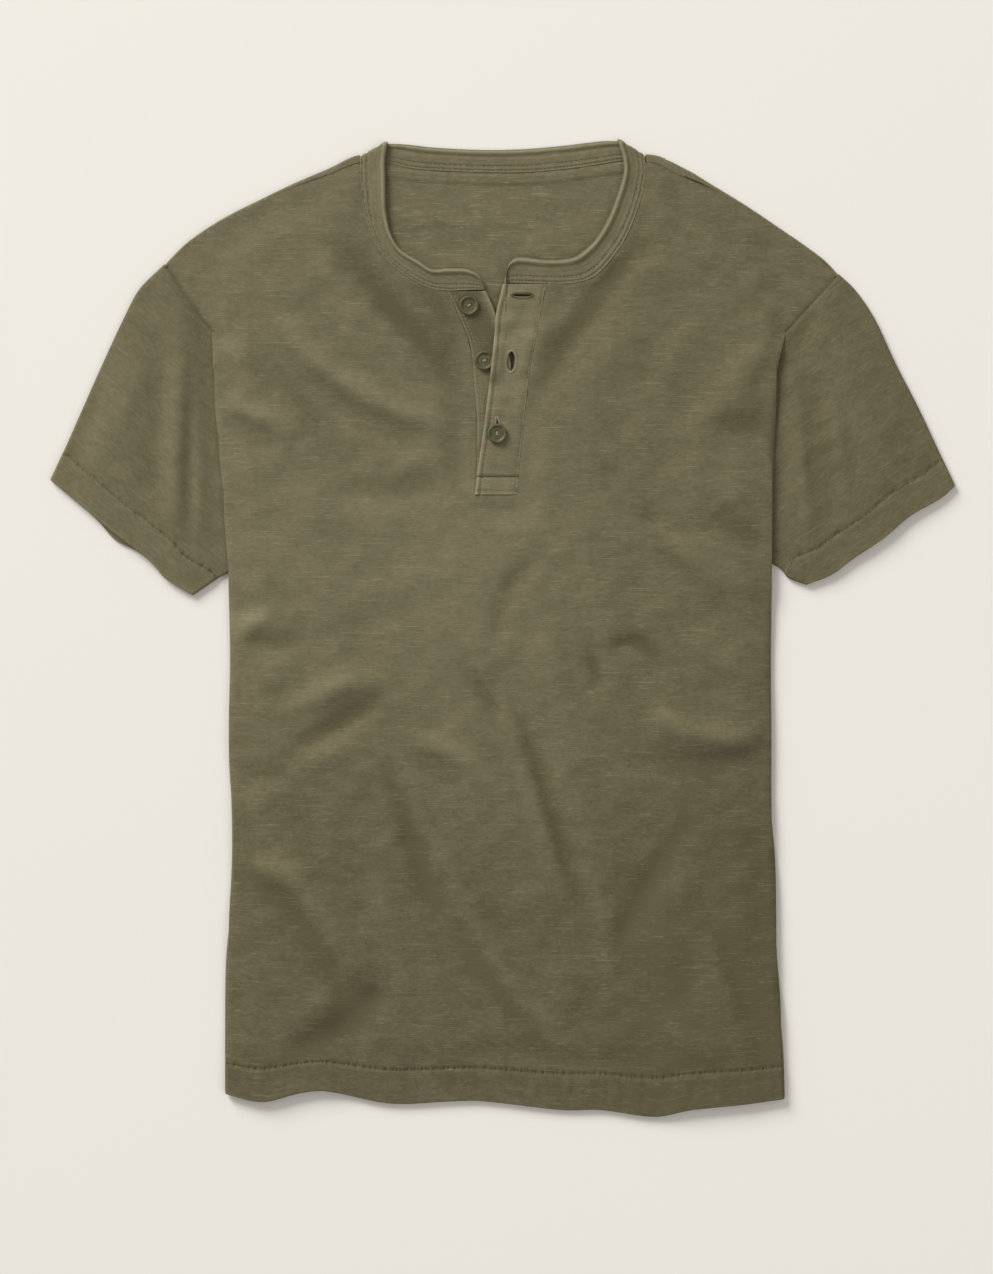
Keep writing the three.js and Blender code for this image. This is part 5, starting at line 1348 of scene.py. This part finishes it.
jersey_band = jersey("slub_jersey_neckband", (11.1, 0.4), slub=0.25)
bm = bmesh.new()
bmesh.ops.create_grid(bm, x_segments=480, y_segments=SECTION_STEPS, size=0.5)
bmesh.ops.scale(bm, vec=(BAND_TOTAL, SECTION_STEPS, 1), verts=bm.verts)
bmesh.ops.translate(bm, vec=(BAND_TOTAL / 2, SECTION_STEPS / 2, 0), verts=bm.verts)
band = lay_cloth(bm, "neckband_cloth", place_band, jersey_band, cut=cut_band,
                 wear_and_painted_shading=band_wear_and_shading, joined=True, wall=0, rim=0)
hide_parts("neckband")
print("neckband", BAND_TOTAL, "mm long,", 2 * BAND_WIDTH, "mm wide before folding")

# %% [markdown]
# ## Placket strips
# Each placket is a strip of doubled jersey with a soft folded edge. The upper one has a rolled
# left edge, an edge stitch beside it, a row of stitches at its right edge, and three
# buttonholes. It lifts over the middle button, which sits half under it.

# %% Buttons and buttonholes table
BUTTON_RADIUS = 7.5
BUTTON_THICKNESS = 2.5
PLACKET_THICKNESS = 1.4
PLACKET_FACE = PLACKET_THICKNESS / 2
UNDER_ENDS = (115.0, 257.0)
UPPER_ENDS = (101.4, 262.4)
UNDER_Z = PITCH + NECK_LIFT
BUTTON_REST = PLACKET_THICKNESS + SEAM_GAP
UPPER_Z = UNDER_Z + BUTTON_REST
BUTTONS = {
    "button_top": (-25.6, 246.0, UNDER_Z), "button_middle": (-13.8, 203.9, UNDER_Z),
    "button_bottom": (-4.2, 148.0, UPPER_Z),
}
BUTTONHOLES = table("x y length width turn", [
    (15.0, 253.6, 15, 2.2, 0), (6.5, 203.2, 15, 6.0, 86), (-3.2, 151.6, 16, 1.8, 98),
])


def hole_outline(x, y, length, width, turn, steps=20):
    """The outline of a buttonhole: a lens, turned on the placket."""
    way = 2 * math.pi * np.arange(steps) / steps
    a, b = length / 2 * np.cos(way), width / 2 * np.sin(way)
    turn = math.radians(turn)
    return np.stack([x + a * math.cos(turn) - b * math.sin(turn),
                     y + a * math.sin(turn) + b * math.cos(turn)], axis=1)


HOLES = [hole_outline(*row) for row in zip(*BUTTONHOLES.values())]
PLACKET_CELL = 0.8


def strip_grid(columns, low, high, left, right):
    """A flat grid fitted between the two edges of a strip."""
    bm = bmesh.new()
    width = float(np.mean(columns["right"] - columns["left"]))
    bmesh.ops.create_grid(bm, x_segments=round(width / PLACKET_CELL),
                          y_segments=round((high - low) / PLACKET_CELL), size=0.5)
    for v in bm.verts:
        y = lerp(low, high, v.co.y + 0.5)
        v.co.x = lerp(float(left(y)), float(right(y)), v.co.x + 0.5)
        v.co.y = y
    return bm


# %% Under placket
def across_strip(x, y, left, right):
    return x - left(y), right(y) - x


UNDER_STITCHES = (1.2, 4.0)


def under_surface(x, y):
    from_left, from_right = across_strip(x, y, under_left, under_right)
    z = UNDER_Z + PLACKET_FACE * np.ones(len(x))
    for row in UNDER_STITCHES:
        z -= 0.25 * bell(from_left, row, 0.7)
    z += 0.25 * bell(from_left, 0.3, 0.7)
    z += 1.0 * bell(from_right, 1.3, 1.6) * smooth((y - 180) / 30)
    return x, y, z + 0.10 * ripple(x, y, seed=41, shortest=8, longest=30)


def under_placket_wear_and_shading(x, y):
    from_left, from_right = across_strip(x, y, under_left, under_right)
    # Painted shade over the top of the strip, where the band and the upper placket shade it.
    painted_shading = 0.36 * smooth((y - 196) / 30) * smooth((from_right - 3) / 5)
    return 0.50 * bell(from_right, 0.5, 1.5) + 0.36 * bell(from_left, 0.7, 1.1) - painted_shading


jersey_under = jersey("slub_jersey_under_placket", (13.7, 2.8), slub=0.25)
bm = strip_grid(UNDER_PLACKET, *UNDER_ENDS, under_left, under_right)
under = lay_cloth(bm, "under_placket_cloth", under_surface, jersey_under,
                  wear_and_painted_shading=under_placket_wear_and_shading, wall=PLACKET_THICKNESS, rim=0.5)
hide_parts("under_placket")


# %% Upper placket
EDGE_STITCH = 4.2
RIGHT_STITCH = 1.0
BOX_Y = (UPPER_ENDS[0] + 2.5, 115.0)


def upper_surface(x, y):
    from_left, from_right = across_strip(x, y, upper_left, upper_right)
    away = np.hypot(x - BUTTONS["button_middle"][0], y - BUTTONS["button_middle"][1])
    over = 1 - smooth((away - BUTTON_RADIUS - 1) / 11)
    z = UPPER_Z + PLACKET_FACE + (BUTTON_THICKNESS + SEAM_GAP) * over
    z -= 0.45 * (1 - smooth(from_right / 7))
    z += 0.65 * bell(from_left, 1.2, 1.2) - 0.40 * bell(from_left, EDGE_STITCH, 0.8)
    z -= 0.35 * bell(from_right, RIGHT_STITCH, 0.8)
    pulls = pucker(y, seed=51, length=5) * (bell(from_left, EDGE_STITCH, 1.2)
                                            + bell(from_right, RIGHT_STITCH, 1.2))
    z -= 0.22 * pulls
    for level, depth in zip(BOX_Y, (0.4, 1.0)):
        z -= depth * bell(y, level, 1.1)
    for row in zip(*BUTTONHOLES.values()):
        outline = hole_outline(*row)
        ring = distance_to(x, y, np.vstack([outline, outline[:1]]))[0]
        z += 0.28 * bell(ring, 1.0, 1.1)
    loose = smooth((y - 125) / 30)
    return x, y, z + (0.1 + 0.3 * loose) * ripple(x, y, seed=43, shortest=12, longest=40)


def upper_placket_wear_and_shading(x, y):
    from_left, from_right = across_strip(x, y, upper_left, upper_right)
    # Painted shade in the stitch grooves, and a strong painted shadow along the top line of the
    # box.
    sewn = bell(from_left, EDGE_STITCH, 0.8) + bell(y, BOX_Y[0], 1.0) + 4 * bell(y, BOX_Y[1], 1.2)
    # Lighter on its upper part and inside the box.
    wear_and_shade = 0.08 + 0.10 * smooth((y - 150) / 40) + 0.10 * smooth((BOX_Y[1] - 1 - y) / 2)
    return wear_and_shade + 0.50 * bell(from_left, 0.5, 1.5) + 0.1 * bell(from_right, 0, 1.0) - 0.10 * sewn


jersey_upper = jersey("slub_jersey_upper_placket", (15.5, 6.1), slub=0.25)
bm = strip_grid(UPPER_PLACKET, *UPPER_ENDS, upper_left, upper_right)
for hole in HOLES:
    cut_cloth(bm, hole, keep="outside")
upper = lay_cloth(bm, "upper_placket_cloth", upper_surface, jersey_upper,
                  wear_and_painted_shading=upper_placket_wear_and_shading, wall=PLACKET_THICKNESS, rim=0.3)
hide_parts("upper_placket")

# %% [markdown]
# ## Buttons
# The buttons are 15 mm discs of dyed plastic with a raised rim, a dished middle and two holes.
# A profile is drawn once as a chain of edges and spun round. The holes are cut with a Boolean
# modifier that is applied, because a spun disc has no cells where the holes go.

# %% Button material
def button_plastic():
    """Dyed plastic: a dark olive with faint clouds."""
    material, tree, shader = new_material("olive_button_plastic")
    where = add_node(tree, "ShaderNodeTexCoord").outputs["Object"]
    cloud = add_node(tree, "ShaderNodeTexNoise", in_Vector=where, in_Scale=260.0,
                     in_Detail=3.0).outputs[0]
    colour = mix_colour(tree, between(tree, cloud, 0.35, 0.7),
                        (0.070, 0.067, 0.027, 1), (0.112, 0.106, 0.048, 1))
    tree.links.new(colour, shader.inputs["Base Color"])
    fine = add_node(tree, "ShaderNodeTexNoise", in_Vector=where, in_Scale=1500.0,
                    in_Detail=2.0).outputs[0]
    bump = add_node(tree, "ShaderNodeBump", in_Height=fine, in_Strength=0.25,
                    in_Distance=0.05 * MM)
    tree.links.new(bump.outputs[0], shader.inputs["Normal"])
    shader.inputs["Roughness"].default_value = 0.5
    shader.inputs["Specular IOR Level"].default_value = 0.3
    return material


# %% Button shape
PROFILE = [
    (0.00, 0.00), (0.70, 0.00), (0.90, 0.12), (0.98, 0.38), (1.00, 0.60), (0.97, 0.84),
    (0.91, 0.97), (0.85, 1.00), (0.78, 0.94), (0.72, 0.76), (0.67, 0.56), (0.62, 0.50),
    (0.54, 0.56), (0.44, 0.60), (0.00, 0.58),
]
SPIN_STEPS = 56
HOLE_RADIUS = 1.0
HOLE_SPACING = 3.4


def make_button(name, x, y, seat, material, turn):
    z = seat + BUTTON_REST
    bm = bmesh.new()
    verts = [bm.verts.new((r * BUTTON_RADIUS, 0, h * BUTTON_THICKNESS)) for r, h in PROFILE]
    edges = [bm.edges.new(pair) for pair in zip(verts[:-1], verts[1:])]
    bmesh.ops.spin(bm, geom=[*verts, *edges], cent=(0, 0, 0), axis=(0, 0, 1),
                   angle=2 * math.pi, steps=SPIN_STEPS, use_merge=True)
    bmesh.ops.remove_doubles(bm, verts=bm.verts, dist=0.01)
    bmesh.ops.recalc_face_normals(bm, faces=bm.faces)
    disc = add_object(name, mesh_of(bm, name))
    drill = bmesh.new()
    for side in (-1, 1):
        where = Matrix.Translation((side * HOLE_SPACING / 2, 0, BUTTON_THICKNESS / 2))
        bmesh.ops.create_cone(drill, cap_ends=True, segments=24, radius1=HOLE_RADIUS,
                              radius2=HOLE_RADIUS, depth=4 * BUTTON_THICKNESS, matrix=where)
    cutter = add_object("drill", mesh_of(drill, "drill"))
    boolean = disc.modifiers.new("holes", "BOOLEAN")
    boolean.operation = "DIFFERENCE"
    boolean.object = cutter
    graph = bpy.context.evaluated_depsgraph_get()
    cut = bpy.data.meshes.new_from_object(disc.evaluated_get(graph))
    disc.modifiers.clear()
    disc.data = cut
    bpy.data.objects.remove(cutter)
    lean = Matrix.Translation((x * MM, y * MM, z * MM)) @ Matrix.Rotation(turn, 4, "Z")
    cut.transform(lean @ Matrix.Scale(MM, 4))
    cut.shade_smooth()
    rim = disc.modifiers.new("rim", "BEVEL")
    rim.width = 0.12 * MM
    rim.segments = 2
    rim.angle_limit = math.radians(50)
    cut.materials.append(material)
    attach(disc, BODY)
    return disc


plastic = button_plastic()
BUTTON_TURNS = {"button_top": 0.5, "button_middle": 0.2, "button_bottom": 1.75}
for node_name, (bx, by, seat) in BUTTONS.items():
    disc = make_button(node_name + "_disc", bx, by, seat, plastic, BUTTON_TURNS[node_name])
    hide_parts(node_name)
print("buttons", len(BUTTONS))

# %% [markdown]
# ## Thread
# Sewing holds the shirt together and shows everywhere: twice along the band, beside the
# placket edges, round the buttonholes and over the hems. A stitch is one small ball, drawn out
# along its thread. It is made once, copied for every stitch of a piece, and each copy is moved
# to its own place on the cloth, so thousands of stitches are one light mesh.

# %% Thread material
def thread(name, colour):
    material, tree, shader = new_material(name)
    where = add_node(tree, "ShaderNodeTexCoord").outputs["Object"]
    uneven = add_node(tree, "ShaderNodeTexNoise", in_Vector=where, in_Scale=700.0).outputs[0]
    dark = (*(0.7 * c for c in colour), 1)
    tree.links.new(mix_colour(tree, uneven, dark, (*(1.2 * c for c in colour), 1)),
                   shader.inputs["Base Color"])
    shader.inputs["Roughness"].default_value = 0.8
    shader.inputs["Specular IOR Level"].default_value = 0.25
    return material


# %% One stitch and rows of them
def ball_along_x():
    """One stitch before it is drawn out: a ball, one unit across, with its poles on X."""
    bm = bmesh.new()
    lying = Matrix.Rotation(math.pi / 2, 4, "Y")
    bmesh.ops.create_uvsphere(bm, u_segments=8, v_segments=6, radius=0.5, matrix=lying)
    return mesh_of(bm, "stitch")


STITCH = ball_along_x()


def row_of(point_at, length, pitch=2.8, size=(2.1, 0.5, 0.42), seed=0):
    """Stitches along a row: point_at gives the thread's place for millimetres along the row."""
    draw = np.random.default_rng(seed)
    count = int(length / pitch)
    middle = (np.arange(count) + 0.5) * length / count + draw.normal(0, 0.1, count)
    half = size[0] / 2 * (1 + draw.normal(0, 0.07, count))
    start = np.stack(point_at(middle - half), axis=-1)
    end = np.stack(point_at(middle + half), axis=-1)
    return start, end, np.tile(size[1:], (count, 1))


def sew(name, rows, material):
    """One mesh of all the stitches of some rows."""
    start, end, girth = (np.concatenate(part) for part in zip(*rows))
    bm = bmesh.new()
    for _ in start:
        bm.from_mesh(STITCH)
    mesh = mesh_of(bm, name)
    shape = np.empty(len(mesh.vertices) * 3)
    mesh.vertices.foreach_get("co", shape)
    shape = shape.reshape(len(start), -1, 3)
    way = end - start
    length = np.linalg.norm(way, axis=1)[:, None]
    way = way / length
    across = np.cross((0, 0, 1), way)
    across /= np.linalg.norm(across, axis=1)[:, None]
    up = np.cross(way, across)
    spots = ((start + end) / 2)[:, None, :] + shape[:, :, :1] * (way * length)[:, None, :]
    spots = spots + shape[:, :, 1:2] * (across * girth[:, :1])[:, None, :]
    spots = spots + shape[:, :, 2:] * (up * girth[:, 1:])[:, None, :]
    mesh.vertices.foreach_set("co", (spots * MM).ravel())
    mesh.shade_smooth()
    mesh.materials.append(material)
    piece = add_object(name, mesh)
    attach(piece, BODY)
    print(name, "stitches", len(start))


# %% Thread of the band
PALE_THREAD = thread("pale_thread", (0.262, 0.235, 0.150))
DARK_THREAD = thread("dark_thread", (0.075, 0.062, 0.032))
THREAD_LIFT = 0.05


def on_band(row, first, facing):
    """A place on the face of the band that shows: the outer one, or the inner at the back."""
    def point_at(way):
        t = np.full(len(way), row)
        lift = facing * (band_height(t, facing > 0) + THREAD_LIFT)
        return band_point(first + way, t, lift)
    return point_at


band_rows = []
first = 0
for part in BAND_ORDER:
    size = BAND_LENGTHS.get(part, TURN_LENGTH)
    facing = -1 if part == "back" else 1
    if part in BAND_LENGTHS:
        for number, across in enumerate(BAND_STITCHES):
            band_rows.append(row_of(on_band(across, first + 1, facing), size - 2, pitch=2.6,
                                    seed=60 + number))
    first += size
sew("neckband_stitches", band_rows, PALE_THREAD)


# %% Thread of the plackets
def along_strip(surface, edge, inset, low):
    def point_at(way):
        y = low + way
        x, y, z = surface(edge(y) + inset, y)
        return x, y, z + PLACKET_FACE + THREAD_LIFT
    return point_at


def across_upper(y, low_x):
    def point_at(way):
        x, level, z = upper_surface(low_x + way, np.full(len(way), y))
        return x, level, z + PLACKET_FACE + THREAD_LIFT
    return point_at


placket_rows = [
    row_of(along_strip(upper_surface, upper_left, EDGE_STITCH, 103), 158, seed=71),
    row_of(along_strip(upper_surface, upper_right, -RIGHT_STITCH, 103), 155, seed=72),
]
box_rows = []
for number, level in enumerate(BOX_Y):
    left_x = float(upper_left(level)) + 1.5
    width = float(upper_right(level)) - 1.5 - left_x
    box_rows.append(row_of(across_upper(level, left_x), width, pitch=2.4,
                           size=(2.0, 0.55, 0.45), seed=73 + number))
placket_rows.append(box_rows[0])
for number, inset in enumerate(UNDER_STITCHES):
    placket_rows.append(row_of(along_strip(under_surface, under_left, inset, 118), 136,
                               seed=75 + number))
sew("placket_stitches", placket_rows, PALE_THREAD)
# The top row of the box is sewn in dark thread, as painted shadow in the fold along that row.
sew("box_top_stitches_painted_shadow", box_rows[1:], DARK_THREAD)


# %% Thread of the buttonholes
def satin_round(x, y, length, width, turn):
    """Close stitches that point away from a buttonhole, all round its rim."""
    steps = int(2 * length / 0.42)
    inner = hole_outline(x, y, length, width, turn, steps)
    outer = hole_outline(x, y, length + 3.4, width + 4.0, turn, steps)
    ends = []
    for line in (inner, outer):
        px, py, pz = upper_surface(line[:, 0], line[:, 1])
        ends.append(np.stack([px, py, pz + PLACKET_FACE + 0.12], axis=-1))
    return ends[0], ends[1], np.tile((0.46, 0.5), (steps, 1))


holes = [satin_round(*row) for row in zip(*BUTTONHOLES.values())]
WORN_THREAD = thread("worn_thread", (0.300, 0.270, 0.180))
BROWN_THREAD = thread("brown_thread", (0.105, 0.092, 0.046))
sew("buttonhole_stitches", holes[1:], WORN_THREAD)
sew("top_buttonhole_stitches", holes[:1], BROWN_THREAD)

# %% Thread of the hems
HEM_THREAD = {"pitch": 2.7, "size": (1.7, 0.7, 0.5)}
HEM_START_X = -207
HEM_SEWN = 418


def on_body_hem(way):
    return place_front(HEM_START_X + way, np.full(len(way), HEM_LEVEL + BODY_HEM))


def above(place):
    """The face of the cloth over a place in its middle."""
    def point_at(way):
        x, y, z = place(way)
        return x, y, z + HALF
    return point_at


sew("body_hem_stitches", [row_of(above(on_body_hem), HEM_SEWN, seed=81, **HEM_THREAD)],
    DARK_THREAD)
sew("cuff_stitches", [
    row_of(above(on_left_cuff), SLEEVE_LEFT_CUT[0] / 2 - 1, seed=82, **HEM_THREAD),
    row_of(above(on_right_cuff), SLEEVE_RIGHT_CUT[0] / 2 - 1, seed=83, **HEM_THREAD),
], DARK_THREAD)


# %% Thread of the buttons
def button_thread(x, y, seat, turn):
    """Three threads side by side from hole to hole."""
    z = seat + BUTTON_REST + 0.58 * BUTTON_THICKNESS + 0.2
    way = np.array((math.cos(turn), math.sin(turn), 0))
    side = np.array((-math.sin(turn), math.cos(turn), 0))
    middle = np.array((x, y, z)) + np.outer((-0.42, 0, 0.42), side)
    reach = (HOLE_SPACING / 2 + 0.5) * way
    return middle - reach, middle + reach, np.tile((0.5, 0.55), (3, 1))


sew("button_threads", [button_thread(*BUTTONS[n], BUTTON_TURNS[n]) for n in BUTTONS],
    WORN_THREAD)

# %% [markdown]
# ## Camera
# The shirt was seen from straight above. The long side of the frame covers 974.6 mm of the
# table, so the lens follows from the height: from three metres the view is nearly parallel.

# %% Camera and light
VIEW_HEIGHT = 3.0
FRAME_LENGTH = 974.6
camera_data = bpy.data.cameras.new("camera")
camera_data.sensor_width = 36
camera_data.lens = 36 * VIEW_HEIGHT / (FRAME_LENGTH * MM)
camera = add_object("camera", camera_data)
camera.location = (-4.6 * MM, -7.3 * MM, VIEW_HEIGHT)
bpy.context.scene.camera = camera


def softbox(name, place, aim, size, power, colour):
    """A square area light that faces a point."""
    light = bpy.data.lights.new(name, "AREA")
    light.size = size
    light.energy = power
    light.color = colour
    lamp = add_object(name, light)
    lamp.location = place
    lamp.rotation_euler = (Vector(aim) - Vector(place)).to_track_quat("-Z", "Y").to_euler()


softbox("key", (-6.0, 7.7, 4.8), (0, 0, 0), 5.0, 1400, (1.0, 0.987, 0.958))
softbox("fill", (2.6, -1.8, 3.2), (0, 0, 0), 2.4, 30, (1.0, 0.99, 0.97))
world = bpy.data.worlds.new("studio")
world.use_nodes = True
world.node_tree.nodes["Background"].inputs[0].default_value = (1.0, 0.985, 0.95, 1)
world.node_tree.nodes["Background"].inputs[1].default_value = 0.42
bpy.context.scene.world = world
bpy.context.scene.view_settings.view_transform = "Standard"

floor_material, _, floor_shader = new_material("pale_table")
floor_shader.inputs["Base Color"].default_value = (0.82, 0.80, 0.755, 1)
floor_shader.inputs["Roughness"].default_value = 0.9
floor_bm = bmesh.new()
bmesh.ops.create_grid(floor_bm, x_segments=1, y_segments=1, size=5)
bmesh.ops.translate(floor_bm, vec=(0, 0, -0.3 * MM), verts=floor_bm.verts)
floor = add_object("table_top", mesh_of(floor_bm, "table_top"))
floor.data.materials.append(floor_material)
